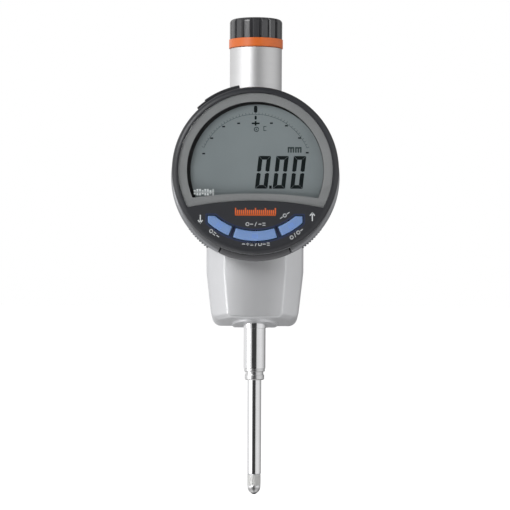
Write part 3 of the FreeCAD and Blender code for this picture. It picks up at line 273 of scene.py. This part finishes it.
MATERIALS = {
    "cast_metal": blasted("cast_metal", (0.68, 0.685, 0.70), 0.40, 0.3, 0.55, 0.3, 48),
    "stem_steel": turned_metal("stem_steel", (0.86, 0.86, 0.87), 0.14),
    "nose_steel": turned_metal("nose_steel", (0.74, 0.74, 0.745), 0.28),
    "seal_rubber": rubber("seal_rubber", (0.03, 0.03, 0.03)),
    "bush_bronze": machined("bush_bronze", (0.66, 0.47, 0.26), 0.3),
    "sleeve_metal": turned_metal("sleeve_metal", (0.76, 0.76, 0.765), 0.5, 0.25, 0.003),
    "spring_steel": machined("spring_steel", (0.60, 0.61, 0.63), 0.3),
    "rail_steel": machined("rail_steel", (0.62, 0.63, 0.65), 0.28),
    "screw_steel": machined("screw_steel", (0.52, 0.53, 0.55), 0.3),
    "board_green": circuit_board("board_green"),
    "chip_black": moulded("chip_black", (0.03, 0.03, 0.032), 0.5, 0.1),
    "flex_amber": moulded("flex_amber", (0.60, 0.28, 0.05), 0.3, 0.4, 0.002),
    "hub_steel": machined("hub_steel", (0.58, 0.59, 0.61), 0.32),
    "back_metal": blasted("back_metal", (0.52, 0.53, 0.55), 0.45, 0.3, 0.3, 0.3),
    "spindle_steel": turned_metal("spindle_steel", (0.85, 0.85, 0.86), 0.12),
    "contact_steel": turned_metal("contact_steel", (0.86, 0.86, 0.865), 0.34),
    "carbide": turned_metal("carbide", (0.07, 0.07, 0.075), 0.2),
    "carrier_alloy": machined("carrier_alloy", (0.68, 0.69, 0.71), 0.32),
    "scale_film": moulded("scale_film", (0.55, 0.42, 0.12), 0.25, 0.5, 0.001, coat=0.5),
    "case_metal": blasted("case_metal", (0.32, 0.325, 0.34), 0.36, 0.18, 0.3, 0.25),
    "cover_black": moulded("cover_black", (0.022, 0.023, 0.027), 0.4, 0.35, 0.004, 0.3, 0.12),
    "window_clear": clear_window("window_clear"),
    "mask_grey": printed("mask_grey", (0.200, 0.201, 0.205), 0.45),
    "frame_black": moulded("frame_black", (0.012, 0.012, 0.013), 0.5),
    "lcd_grey": lcd_surface("lcd_grey"),
    "reflector_silver": machined("reflector_silver", (0.6, 0.62, 0.6), 0.35),
    "strip_rubber": rubber("strip_rubber", (0.45, 0.45, 0.46)),
    "socket_ivory": moulded("socket_ivory", (0.72, 0.68, 0.56), 0.45),
    "dome_steel": machined("dome_steel", (0.66, 0.67, 0.68), 0.25),
    "contact_gold": machined("contact_gold", (0.86, 0.62, 0.24), 0.22),
    "socket_black": moulded("socket_black", (0.02, 0.02, 0.021), 0.45),
    "washer_white": moulded("washer_white", (0.78, 0.78, 0.76), 0.5),
    "key_blue": rubber("key_blue", (0.14, 0.235, 0.45), 0.5, 0.3),
    "tray_grey": moulded("tray_grey", (0.075, 0.075, 0.08), 0.42),
    "cell_steel": machined("cell_steel", (0.74, 0.74, 0.75), 0.2),
    "ring_orange": moulded("ring_orange", (0.60, 0.125, 0.016), 0.36, 0.4, 0.003, 0.25, 0.15),
    "cap_black": moulded("cap_black", (0.033, 0.033, 0.036), 0.32, 0.25, 0.006, 0.25, 0.7),
}
KNURLED_STEEL = turned_metal("knurled_steel", (0.86, 0.86, 0.85), 0.62)
PRINT_WHITE = printed("print_white", (0.50, 0.52, 0.53))
PRINT_GREY = printed("print_grey", (0.38, 0.395, 0.405))
PRINT_ORANGE = printed("print_orange", (0.62, 0.11, 0.014))
# Dark blue for the band round each key: painted shade of the gap between key and cover.
GAP_SHADE_NAVY = printed("gap_shade_navy", (0.012, 0.022, 0.060))
SEGMENT_DARK = printed("segment_dark", (0.006, 0.009, 0.010), 0.55, 0.1)
SEGMENT_PALE = printed("segment_pale", (0.045, 0.057, 0.059), 0.5, 0.1)
KEY_MARK = printed("key_mark", (0.12, 0.235, 0.58))

slot_names = {part["node"]: part["material_slot"] for part in frame["record"]["subparts"]}
for name, thing in nodes.items():
    for place in thing.material_slots:
        place.material = MATERIALS[slot_names[name]]


# Pieces

def new_piece(name, bm, material, body, smooth=True, stands_for=()):
    """Makes an object of a bmesh; it rides a body and may take the place of CAD nodes."""
    mesh = bpy.data.meshes.new(name)
    bm.normal_update()
    bm.to_mesh(mesh)
    bm.free()
    mesh.materials.append(material)
    for face in mesh.polygons:
        face.use_smooth = smooth
    piece = bpy.data.objects.new(name, mesh)
    bpy.context.scene.collection.objects.link(piece)
    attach(piece, body)
    if stands_for:
        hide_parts(*stands_for)
    return piece


def auto_smooth(piece, degrees=35):
    """Marks edges sharper than an angle, so that rounded faces shade smoothly and corners stay crisp."""
    mesh = piece.data
    bm = bmesh.new()
    bm.from_mesh(mesh)
    for edge in bm.edges:
        if len(edge.link_faces) == 2 and edge.calc_face_angle() > math.radians(degrees):
            edge.smooth = False
    bm.to_mesh(mesh)
    bm.free()


def at(across, up, depth):
    """A point given in millimetres from the display's centre, at a depth in metres."""
    return Vector((across * MM, depth, DISPLAY + up * MM))


def ring_bridge(bm, first, second):
    """Faces between two closed loops with the same number of points."""
    count = len(first)
    for i in range(count):
        bm.faces.new((first[i], first[(i + 1) % count], second[(i + 1) % count], second[i]))


def close_up(bm, loops):
    """Makes one closed skin of a row of loops, with a face over each end."""
    for first, second in zip(loops, loops[1:]):
        ring_bridge(bm, first, second)
    bm.faces.new(loops[-1])
    bm.faces.new(list(reversed(loops[0])))
    bmesh.ops.recalc_face_normals(bm, faces=bm.faces[:])


def flat_marks(name, outlines, depth, material, body="display_unit", thick=0.02):
    """Thin flat shapes that stand just in front of a face: print, and one crescent of painted shadow; each
    outline is in display millimetres.
    """
    bm = bmesh.new()
    for outline in outlines:
        back = [bm.verts.new(at(x, z, depth)) for x, z in outline]
        front = [bm.verts.new(at(x, z, depth - thick * MM)) for x, z in outline]
        ring_bridge(bm, back, front)
        bm.faces.new(front)
        bm.faces.new(list(reversed(back)))
    bmesh.ops.recalc_face_normals(bm, faces=bm.faces[:])
    return new_piece(name, bm, material, body, smooth=False)


# Outlines of marks, in display millimetres

def bar(x, z, width, height, lean=0.0):
    """A box about a centre; lean moves its top to the right."""
    w, h, tip = width / 2, height / 2, lean / 2
    return [(x - w - tip, z - h), (x + w - tip, z - h), (x + w + tip, z + h), (x - w + tip, z + h)]


def turned_outline(outline, degrees, about):
    c, s = math.cos(math.radians(degrees)), math.sin(math.radians(degrees))
    return [(about[0] + (x - about[0]) * c - (z - about[1]) * s,
             about[1] + (x - about[0]) * s + (z - about[1]) * c) for x, z in outline]


def arc_strip(radius, width, start, end, steps=48, about=(0, 0)):
    """A slice of a ring as a closed outline; start and end are in degrees."""
    angles = [math.radians(start + (end - start) * i / steps) for i in range(steps + 1)]
    outer = [(about[0] + (radius + width / 2) * math.cos(a), about[1] + (radius + width / 2) * math.sin(a))
             for a in angles]
    inner = [(about[0] + (radius - width / 2) * math.cos(a), about[1] + (radius - width / 2) * math.sin(a))
             for a in reversed(angles)]
    return outer + inner


def pill(x, z, width, height, count=10):
    """An upright bar with round ends."""
    radius = width / 2
    shoulder = z + height / 2 - radius
    angles = [math.pi * i / count for i in range(count + 1)]
    top = [(x + radius * math.cos(a), shoulder + radius * math.sin(a)) for a in angles]
    return top + [(2 * x - a, 2 * z - b) for a, b in top]


# The digits: the lean is millimetres to the right for each one up
DIGIT_HEIGHT = 11.56
DIGIT_WIDTH = 4.4
DIGIT_STROKE = 1.45
DIGIT_CAP = 1.3
DIGIT_LEAN = 0.112
DIGIT_FOOT = -6.36
DIGIT_LEFTS = (-0.15, 6.1, 12.3)


def leaning(outline):
    """Leans an outline to the right about the digits' foot."""
    return [(x + (z - DIGIT_FOOT) * DIGIT_LEAN, z) for x, z in outline]


def zero_digit(left):
    """The six segments of a nought, with mitred ends."""
    w, h, s, c, gap = DIGIT_WIDTH, DIGIT_HEIGHT, DIGIT_STROKE, DIGIT_CAP, 0.07
    z0, z1 = DIGIT_FOOT, DIGIT_FOOT + h
    x0, x1 = left, left + w
    mid = (z0 + z1) / 2
    top = [(x0 + gap, z1), (x1 - gap, z1), (x1 - s, z1 - c), (x0 + s, z1 - c)]
    bottom = [(x0 + gap, z0), (x0 + s, z0 + c), (x1 - s, z0 + c), (x1 - gap, z0)]
    pieces = [top, bottom]
    for a, b in ((x0, x0 + s), (x1, x1 - s)):
        for end, side in ((z1, 1), (z0, -1)):
            pieces.append([(a, end - side * gap), (b, end - side * (c + gap)), (b, mid + side * 0.55),
                           ((a + b) / 2, mid + side * 0.18), (a, mid + side * 0.4)])
    return [leaning(piece) for piece in pieces]


def letter_m(left, foot, width=2.3, height=2.0, stroke=0.56):
    """One m of the millimetre mark."""
    pitch = (width - stroke) / 2
    legs = [bar(left + stroke / 2 + pitch * i, foot + height / 2 - 0.1, stroke, height - 0.2)
            for i in range(3)]
    return legs + [bar(left + width / 2, foot + height - stroke / 2, width, stroke)]


def painted_edge_shadow(reach=24.08, shadow_radius=23.7, shift=(0.75, -0.35), start=-24, end=204, steps=90):
    """A dark crescent of painted shadow on the crystal's edge at the left and above, where the frame's
    shade falls.
    """
    outer, inner = [], []
    for i in range(steps + 1):
        angle = math.radians(start + (end - start) * i / steps)
        c, n = math.cos(angle), math.sin(angle)
        along = shift[0] * c + shift[1] * n
        apart = shift[0] ** 2 + shift[1] ** 2 - shadow_radius ** 2
        near = min(reach - 0.02, along + math.sqrt(along ** 2 - apart))
        outer.append((reach * c, reach * n))
        inner.append((near * c, near * n))
    return outer + inner[::-1]


def make_lcd_marks():
    """What the crystal shows: the reading, its unit, the scale with its pointer, and two signs. A dark
    crescent on its left and upper edge is painted shadow.
    """
    # Painted shadow: a black crescent on the crystal, wider at the left and above, where the frame shades
    # it.
    flat_marks("lcd_frame_lip", [painted_edge_shadow()], LCD_FRONT, MATERIALS["frame_black"],
               thick=0.3)
    digits = [outline for left in DIGIT_LEFTS for outline in zero_digit(left)]
    point = bar(5.35, DIGIT_FOOT + 0.55, 0.95, 1.1)
    flat_marks("lcd_digits", digits + [point], LCD_FRONT, SEGMENT_DARK)
    unit = letter_m(11.4, 6.4) + letter_m(14.0, 6.4)
    flat_marks("lcd_unit", unit, LCD_FRONT, SEGMENT_PALE)
    marks = [turned_outline(bar(0, 20.3, 0.14, 0.55 if i % 5 else 0.85), -66 + 132 * i / 40, (0, 0))
             for i in range(41)]
    marks.append(arc_strip(19.9, 0.13, 24, 156))
    flat_marks("lcd_scale", marks, LCD_FRONT, SEGMENT_PALE)
    dashes = [bar(x, z, 1.05, 0.5) for x, z in ((-18.3, 5.9), (-15.5, 11.4), (-11.3, 15.5), (-6.0, 16.7),
                                                (5.6, 16.8), (10.9, 15.9), (15.6, 11.6), (18.3, 6.4))]
    dashes += [bar(0, 16.7, 2.8, 0.55), bar(0, 16.7, 0.6, 1.6), pill(0, 21.7, 1.2, 2.5),
               pill(0, 18.7, 0.75, 1.4)]
    flat_marks("lcd_pointer", dashes, LCD_FRONT, SEGMENT_DARK)
    icon = [arc_strip(0.75, 0.35, 0, 350, 24, (0.3, 14.6)), bar(0.3, 14.6, 0.5, 0.5),
            bar(2.9, 14.9, 0.25, 1.7), bar(3.4, 15.6, 0.9, 0.25), bar(3.4, 14.2, 0.9, 0.25)]
    flat_marks("lcd_icon", icon, LCD_FRONT, SEGMENT_PALE)


def arrow(x, z, height, width, upward):
    """A thin arrow, as a stroke and a barbed head."""
    stem = bar(x, z, 0.4, height - 0.4)
    tip = height / 2
    wing, barb = width / 2, width / 2 - 0.28
    head = [(x, z + tip), (x - wing, z + tip - 1.2), (x - barb, z + tip - 1.45), (x, z + tip - 0.65),
            (x + barb, z + tip - 1.45), (x + wing, z + tip - 1.2)]
    if not upward:
        head = [(2 * x - a, 2 * z - b) for a, b in head]
    return [stem, head]


def sign_row(x, z, turn, kinds):
    """A row of plain signs, such as rings, bars and strokes, turned about its middle."""
    pitch = 1.45
    shapes = []
    for i, kind in enumerate(kinds):
        cx = x + (i - (len(kinds) - 1) / 2) * pitch
        if kind == "o":
            shapes.append(arc_strip(0.55, 0.3, 0, 352, 24, (cx, z)))
        elif kind == "/":
            shapes.append(bar(cx, z, 0.28, 1.5, 0.5))
        elif kind == "-":
            shapes.append(bar(cx, z, 1.05, 0.34))
        elif kind == "=":
            shapes.append(bar(cx, z + 0.38, 1.05, 0.3))
            shapes.append(bar(cx, z - 0.38, 1.05, 0.3))
        elif kind == "+":
            shapes.append(bar(cx, z, 1.1, 0.32))
            shapes.append(bar(cx, z, 0.32, 1.1))
    return [turned_outline(shape, turn, (x, z)) for shape in shapes]


def make_cover_marks():
    """Generic signs in place of words: arrows, key signs, a scale mark and a row of blocks."""
    arrows = arrow(-19.3, -17.3, 3.4, 1.9, False) + arrow(20.1, -16.3, 3.4, 2.0, True)
    flat_marks("arrow_marks", arrows, COVER_FRONT, PRINT_WHITE)
    signs = sign_row(0.2, -19.0, 0, "o-/-=") + sign_row(0.3, -26.0, 0, "-+=/o-=")
    signs += sign_row(-14.3, -22.4, -37, "o=-") + sign_row(10.4, -15.9, 34, "-o-")
    signs += sign_row(14.6, -22.3, 37, "o/o-")
    flat_marks("sign_marks", signs, COVER_FRONT, PRINT_GREY)
    ticks = []
    for i in range(21):
        height = 1.9 if i % 5 else 2.6
        ticks.append(bar(-6.9 + 14.0 * i / 20, -15.9 + height / 2, 0.4, height))
    blocks = [bar(-21.3 + 0.92 * i, -7.8, 0.62, 2.3 if i % 3 else 1.5) for i in range(8)]
    blocks.append(bar(-18.1, -7.8, 7.0, 0.35))
    flat_marks("window_mark", blocks, MASK_FRONT, PRINT_WHITE)
    ticks.append(bar(0.1, -15.8, 14.4, 0.4))
    flat_marks("graduation_mark", ticks, COVER_FRONT, PRINT_ORANGE)


# Keys

# Radii, straight sides and turns about the display's centre, in millimetres and degrees
KEY_INNER, KEY_OUTER = 21.4, 24.9
KEY_LIMIT, KEY_TOP = 16.7, -16.1
KEY_MIDDLE_HALF = 18.4
KEY_SIDE_END = 248.0
BORDER_OUTSET, BORDER_GAP = 0.85, 0.24
KEY_ROUNDING = 4


def straight(a, b, count):
    """Evenly spaced points from a towards b, without b."""
    return [(a[0] + (b[0] - a[0]) * i / count, a[1] + (b[1] - a[1]) * i / count) for i in range(count)]


def on_circle(radius, degrees):
    return (radius * math.cos(math.radians(degrees)), radius * math.sin(math.radians(degrees)))


def round_arc(radius, start, end, count):
    """Evenly spaced points on an arc about the display's centre, without its end."""
    return [on_circle(radius, start + (end - start) * i / count) for i in range(count)]


def key_outline(side, inset):
    """One key's outline with an inset, always with the same number of points."""
    inner, outer = KEY_INNER + inset, KEY_OUTER - inset
    turn_in, turn_out = math.degrees(inset / inner), math.degrees(inset / outer)
    if side == "centre":
        a, b = 270 - KEY_MIDDLE_HALF, 270 + KEY_MIDDLE_HALF
        points = round_arc(outer, a + turn_out, b - turn_out, 90)
        points += straight(on_circle(outer, b - turn_out), on_circle(inner, b - turn_in), 20)
        points += round_arc(inner, b - turn_in, a + turn_in, 78)
        points += straight(on_circle(inner, a + turn_in), on_circle(outer, a + turn_out), 20)
    else:
        limit, top = KEY_LIMIT - inset, KEY_TOP - inset
        first = 180 + math.degrees(math.acos(limit / outer))
        last = KEY_SIDE_END - turn_out
        points = round_arc(outer, first, last, 56)
        points += straight(on_circle(outer, last), on_circle(inner, KEY_SIDE_END - turn_in), 20)
        inner_first = 180 + math.degrees(math.asin(-top / inner))
        points += round_arc(inner, KEY_SIDE_END - turn_in, inner_first, 42)
        points += straight(on_circle(inner, inner_first), (-limit, top), 14)
        points += straight((-limit, top), on_circle(outer, first), 14)
    for _ in range(KEY_ROUNDING):
        count = len(points)
        points = [((points[i - 1][0] + 2 * points[i][0] + points[(i + 1) % count][0]) / 4,
                   (points[i - 1][1] + 2 * points[i][1] + points[(i + 1) % count][1]) / 4)
                  for i in range(count)]
    if side == "right":
        points = [(-x, z) for x, z in points]
    return points


# Pairs of inset and rise from the key's root, up its side and over its crown
KEY_PROFILE = ((0.0, 0.0), (0.0, 2.30), (0.04, 2.47), (0.13, 2.60), (0.26, 2.68), (0.45, 2.725),
               (0.9, 2.75))
# Each key's side, middle and turn
KEY_CENTRES = (("left", -12.6, -19.5, -33), ("centre", 0.0, -23.2, 0), ("right", 12.6, -19.5, 33))


def make_key(side):
    """A crowned silicone cap over the CAD key."""
    bm = bmesh.new()
    loops = []
    for inset, rise in KEY_PROFILE:
        loops.append([bm.verts.new(at(x, z, KEY_ROOT - rise * MM)) for x, z in key_outline(side, inset)])
    close_up(bm, loops)
    piece = new_piece("key_cap_" + side, bm, MATERIALS["key_blue"], side + "_key",
                      stands_for=("key_" + side,))
    auto_smooth(piece, 50)


def make_key_marks():
    """Faint strokes on each key, and a dark blue band round it that is painted shade of the gap about the
    key.
    """
    for side, x, z, turn in KEY_CENTRES:
        shapes = [turned_outline(bar(x + step, z, 0.28, 1.6), turn, (x, z)) for step in (-0.75, 0.0, 0.75)]
        flat_marks("key_mark_" + side, shapes, KEY_FRONT, KEY_MARK, side + "_key")
        # Painted shade: a thin dark blue sheet on the cover round each key, where the gap lies in shade.
        outer = key_outline(side, -BORDER_OUTSET)
        inner = key_outline(side, -BORDER_GAP)
        gap_shade_front = COVER_FRONT - 0.02 * MM
        bm = bmesh.new()
        loops = [[bm.verts.new(at(a, b, depth)) for a, b in loop] for loop, depth in
                 ((inner, COVER_FRONT), (inner, gap_shade_front), (outer, gap_shade_front), (outer, COVER_FRONT))]
        for first, second in zip(loops, loops[1:] + loops[:1]):
            ring_bridge(bm, first, second)
        bmesh.ops.recalc_face_normals(bm, faces=bm.faces[:])
        new_piece("key_gap_shade_" + side, bm, GAP_SHADE_NAVY, "display_unit", smooth=False)


# Contact point, in millimetres and degrees

KNURL_TEETH = 40
KNURL_DEPTH = 0.12
KNURL_TOP, KNURL_FOOT = -53.6, -57.3
CONTACT_RADIUS, CONTACT_PLAIN = 2.44, 2.38
CONTACT_SHOULDER, CONTACT_RISE = -57.9, 2.68
CONTACT_END_ANGLE = 57


def saw(value):
    """A triangle wave from 0 to 1."""
    return abs((value % 1.0) * 2 - 1)


def knurl_radius(turn, height):
    """The radius of crossed knurling at a turn, in whole turns, and a height in millimetres."""
    slant = height / (2 * math.pi * CONTACT_RADIUS) * KNURL_TEETH
    groove = max(saw(turn * KNURL_TEETH + slant), saw(turn * KNURL_TEETH - slant))
    return CONTACT_RADIUS - KNURL_DEPTH * max(0.0, groove - 0.45) / 0.55


def lathe(name, rings, material, body, count, stands_for=()):
    """A closed piece turned about the spindle's axis. Each ring gives a height and a radius, which
    may be a function of the turn and the height."""
    bm = bmesh.new()
    loops = []
    for height, radius in rings:
        loop = []
        for i in range(count):
            angle = 2 * math.pi * i / count
            r = radius(i / count, height) if callable(radius) else radius
            loop.append(bm.verts.new((r * MM * math.cos(angle), r * MM * math.sin(angle), height * MM)))
        loops.append(loop)
    close_up(bm, loops)
    return new_piece(name, bm, material, body, stands_for=stands_for)


def make_contact():
    """The knurled contact point, down to the rounded end that holds the ball."""
    rings = [(KNURL_TOP + 0.1, CONTACT_PLAIN - 0.13), (KNURL_TOP + 0.02, CONTACT_PLAIN - 0.02)]
    knurl_steps, end_steps = 34, 16
    for i in range(knurl_steps + 1):
        rings.append((KNURL_TOP + (KNURL_FOOT - KNURL_TOP) * i / knurl_steps, knurl_radius))
    rings += [(KNURL_FOOT - 0.1, CONTACT_PLAIN - 0.1), (KNURL_FOOT - 0.22, CONTACT_PLAIN)]
    for i in range(end_steps + 1):
        angle = math.radians(CONTACT_END_ANGLE) * i / end_steps
        rings.append((CONTACT_SHOULDER - CONTACT_RISE * math.sin(angle), CONTACT_PLAIN * math.cos(angle)))
    piece = lathe("contact_tip", rings, MATERIALS["contact_steel"], "spindle_unit",
                  KNURL_TEETH * 6, ("contact_point",))
    piece.data.materials.append(KNURLED_STEEL)
    for face in piece.data.polygons:
        if KNURL_FOOT * MM < face.center.z < KNURL_TOP * MM:
            face.material_index = 1
    auto_smooth(piece, 40)


# Window

def arched_outline(radius, arch_radius, arch_top, steps=140):
    """A disc cut off below by a shallow arch, in display millimetres."""
    centre = arch_top - arch_radius
    corner_z = (radius ** 2 - arch_radius ** 2 + centre ** 2) / (2 * centre)
    corner_x = math.sqrt(radius ** 2 - corner_z ** 2)
    start = math.degrees(math.atan2(corner_z, corner_x))
    points = round_arc(radius, start, 180 - start, steps)
    sweep = math.degrees(math.asin(corner_x / arch_radius))
    turns = [math.radians(sweep * (2 * i / 40 - 1)) for i in range(40)]
    return points + [(arch_radius * math.sin(a), centre + arch_radius * math.cos(a)) for a in turns]


WINDOW_RADIUS, WINDOW_ARCH, WINDOW_ARCH_TOP = 27.25, 116.5, -10.7


def make_window():
    """The clear cover, with a small chamfer round its front."""
    front, back = low("window", 1), high("window", 1)
    bm = bmesh.new()
    loops = []
    for inset, depth in ((0.0, back), (0.0, front + 0.15 * MM), (0.05, front + 0.05 * MM), (0.17, front)):
        outline = arched_outline(WINDOW_RADIUS - inset, WINDOW_ARCH, WINDOW_ARCH_TOP + inset)
        loops.append([bm.verts.new(at(x, z, depth)) for x, z in outline])
    close_up(bm, loops)
    piece = new_piece("window_cover", bm, MATERIALS["window_clear"], "display_unit",
                      stands_for=("window",))
    auto_smooth(piece, 30)


# Return spring, in millimetres

SPRING_TURNS = 20
SPRING_STEPS = 26
WIRE_RADIUS = 0.28
WIRE_SIDES = 8
END_TURNS_SHARE = 0.025


def make_spring():
    """A round wire helix with closed ends, at the length of the CAD spring."""
    box_low, box_high = low("return_spring", 2) / MM, high("return_spring", 2) / MM
    wire = WIRE_RADIUS
    radius = (high("return_spring", 0) - low("return_spring", 0)) / MM / 2 - wire
    foot, rise = box_low + wire, box_high - box_low - 2 * wire
    count = SPRING_TURNS * SPRING_STEPS
    bm = bmesh.new()
    loops = []
    for i in range(count + 1):
        share = i / count
        turn = 2 * math.pi * SPRING_TURNS * share
        climb = min(1.0, max(0.0, (share * SPRING_TURNS - 1) / (SPRING_TURNS - 2)))
        height = foot + rise * ((1 - END_TURNS_SHARE) * climb + END_TURNS_SHARE * share)
        loop = []
        for k in range(WIRE_SIDES):
            around = 2 * math.pi * k / WIRE_SIDES
            reach = radius + wire * math.cos(around)
            loop.append(bm.verts.new((reach * MM * math.cos(turn), reach * MM * math.sin(turn),
                                      (height + wire * math.sin(around)) * MM)))
        loops.append(loop)
    close_up(bm, loops)
    piece = new_piece("return_coil", bm, MATERIALS["spring_steel"], "body",
                      stands_for=("return_spring",))
    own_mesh(piece)


make_lcd_marks()
make_cover_marks()
make_spring()
for key_side in ("left", "centre", "right"):
    make_key(key_side)
make_key_marks()
make_contact()
make_window()


# Camera, light and floor

FLOOR_HEIGHT = -0.16
CAMERA_AT = Vector((0.0, -0.680, 0.0267))
CAMERA_ROLL = -0.27
LENS = 131.15

camera_data = bpy.data.cameras.new("camera")
camera_data.lens = LENS
camera_data.sensor_width = 36.0
camera_data.clip_start = 0.01
camera_data.clip_end = 20.0
camera = bpy.data.objects.new("camera", camera_data)
camera.location = CAMERA_AT
camera.rotation_euler = (math.radians(90), math.radians(CAMERA_ROLL), 0)
bpy.context.scene.collection.objects.link(camera)
bpy.context.scene.camera = camera
bpy.context.scene.view_settings.view_transform = "Standard"


# The studio's greys round the object, by degrees from the camera's side with the right positive,
# and by height, from -1 straight below to 1 straight above
GREY_AROUND = ((-180, 0.25), (-164, 0.75), (-140, 1.03), (-60, 1.0), (-33, 0.93), (-29, 0.05),
               (19, 0.05), (24, 0.86), (70, 0.98), (104, 0.7), (135, 0.3), (158, 0.3), (180, 0.25))
GREY_BY_HEIGHT = ((-1, 0.9), (-0.7, 0.65), (-0.38, 0.3), (-0.24, 1.0), (0.4, 1.0), (0.75, 0.5),
                  (1, 0.4))
STUDIO_STRENGTH = 0.88


def make_world():
    """A white studio: bright at the left, a dark screen in front, and dimmer at the right.
    The camera itself sees plain white."""
    world = bpy.data.worlds.new("studio")
    world.use_nodes = True
    tree = world.node_tree
    tree.nodes.clear()
    new, link = tree.nodes.new, tree.links.new
    direction = new("ShaderNodeTexCoord").outputs["Generated"]
    parts = new("ShaderNodeSeparateXYZ")
    link(direction, parts.inputs[0])
    flip = new("ShaderNodeMath")
    flip.operation = "MULTIPLY"
    flip.inputs[1].default_value = -1
    link(parts.outputs["Y"], flip.inputs[0])
    angle = new("ShaderNodeMath")
    angle.operation = "ARCTAN2"
    link(parts.outputs["X"], angle.inputs[0])
    link(flip.outputs[0], angle.inputs[1])
    turn = new("ShaderNodeMapRange")
    turn.inputs["From Min"].default_value = -math.pi
    turn.inputs["From Max"].default_value = math.pi
    link(angle.outputs[0], turn.inputs["Value"])
    around = new("ShaderNodeValToRGB")
    set_ramp(around.color_ramp, GREY_AROUND, -180, 360)
    link(turn.outputs[0], around.inputs[0])
    height = new("ShaderNodeMapRange")
    height.inputs["From Min"].default_value = -1
    link(parts.outputs["Z"], height.inputs["Value"])
    level = new("ShaderNodeValToRGB")
    set_ramp(level.color_ramp, GREY_BY_HEIGHT, -1, 2)
    link(height.outputs[0], level.inputs[0])
    mixed = new("ShaderNodeMix")
    mixed.data_type = "RGBA"
    mixed.blend_type = "MULTIPLY"
    mixed.inputs[0].default_value = 1
    link(around.outputs[0], mixed.inputs[6])
    link(level.outputs[0], mixed.inputs[7])
    lit = new("ShaderNodeBackground")
    link(mixed.outputs[2], lit.inputs["Color"])
    lit.inputs["Strength"].default_value = STUDIO_STRENGTH
    seen = new("ShaderNodeBackground")
    seen.inputs["Color"].default_value = (1.0, 1.0, 1.0, 1)
    path = new("ShaderNodeLightPath")
    choice = new("ShaderNodeMixShader")
    link(path.outputs["Is Camera Ray"], choice.inputs[0])
    link(lit.outputs[0], choice.inputs[1])
    link(seen.outputs[0], choice.inputs[2])
    output = new("ShaderNodeOutputWorld")
    link(choice.outputs[0], output.inputs["Surface"])
    bpy.context.scene.world = world


def set_ramp(ramp, stops, start, span):
    """Fills a colour ramp from (position, grey) pairs; positions are in the ramp's own units."""
    while len(ramp.elements) > 1:
        ramp.elements.remove(ramp.elements[-1])
    for i, (position, grey) in enumerate(stops):
        spot = (position - start) / span
        element = ramp.elements[0] if i == 0 else ramp.elements.new(spot)
        element.position = spot
        element.color = (grey, grey, grey, 1)


def area_light(name, place, aim, size, power):
    """A soft lamp at a place, turned to an aim point; metres and watts."""
    data = bpy.data.lights.new(name, "AREA")
    data.shape = "RECTANGLE"
    data.size, data.size_y = size
    data.energy = power
    lamp = bpy.data.objects.new(name, data)
    lamp.location = place
    lamp.rotation_euler = (Vector(aim) - Vector(place)).to_track_quat("-Z", "Y").to_euler()
    bpy.context.scene.collection.objects.link(lamp)


def make_floor():
    """A wide pale floor that metal doesn't mirror."""
    s = Surface("floor_white")
    tone = s.tint(s.noise(400, detail=1), (0.9, 0.9, 0.9), (0.93, 0.93, 0.93))
    s.principled(Base_Color=tone, Roughness=0.8, Emission_Color=(1, 1, 1, 1), Emission_Strength=0.7)
    bm = bmesh.new()
    bmesh.ops.create_grid(bm, x_segments=8, y_segments=8, size=6.0)
    mesh = bpy.data.meshes.new("floor")
    bm.to_mesh(mesh)
    bm.free()
    mesh.materials.append(s.material)
    floor = bpy.data.objects.new("floor", mesh)
    floor.location = (0, 0, FLOOR_HEIGHT)
    floor.visible_glossy = False
    bpy.context.scene.collection.objects.link(floor)


make_world()
make_floor()
area_light("key_light", (-0.66, -0.88, 0.56), (0, 0, 0.05), (0.5, 0.5), 6.8)
area_light("low_light", (-0.8, -0.35, -0.1), (0, 0, 0.03), (0.5, 0.2), 0.8)
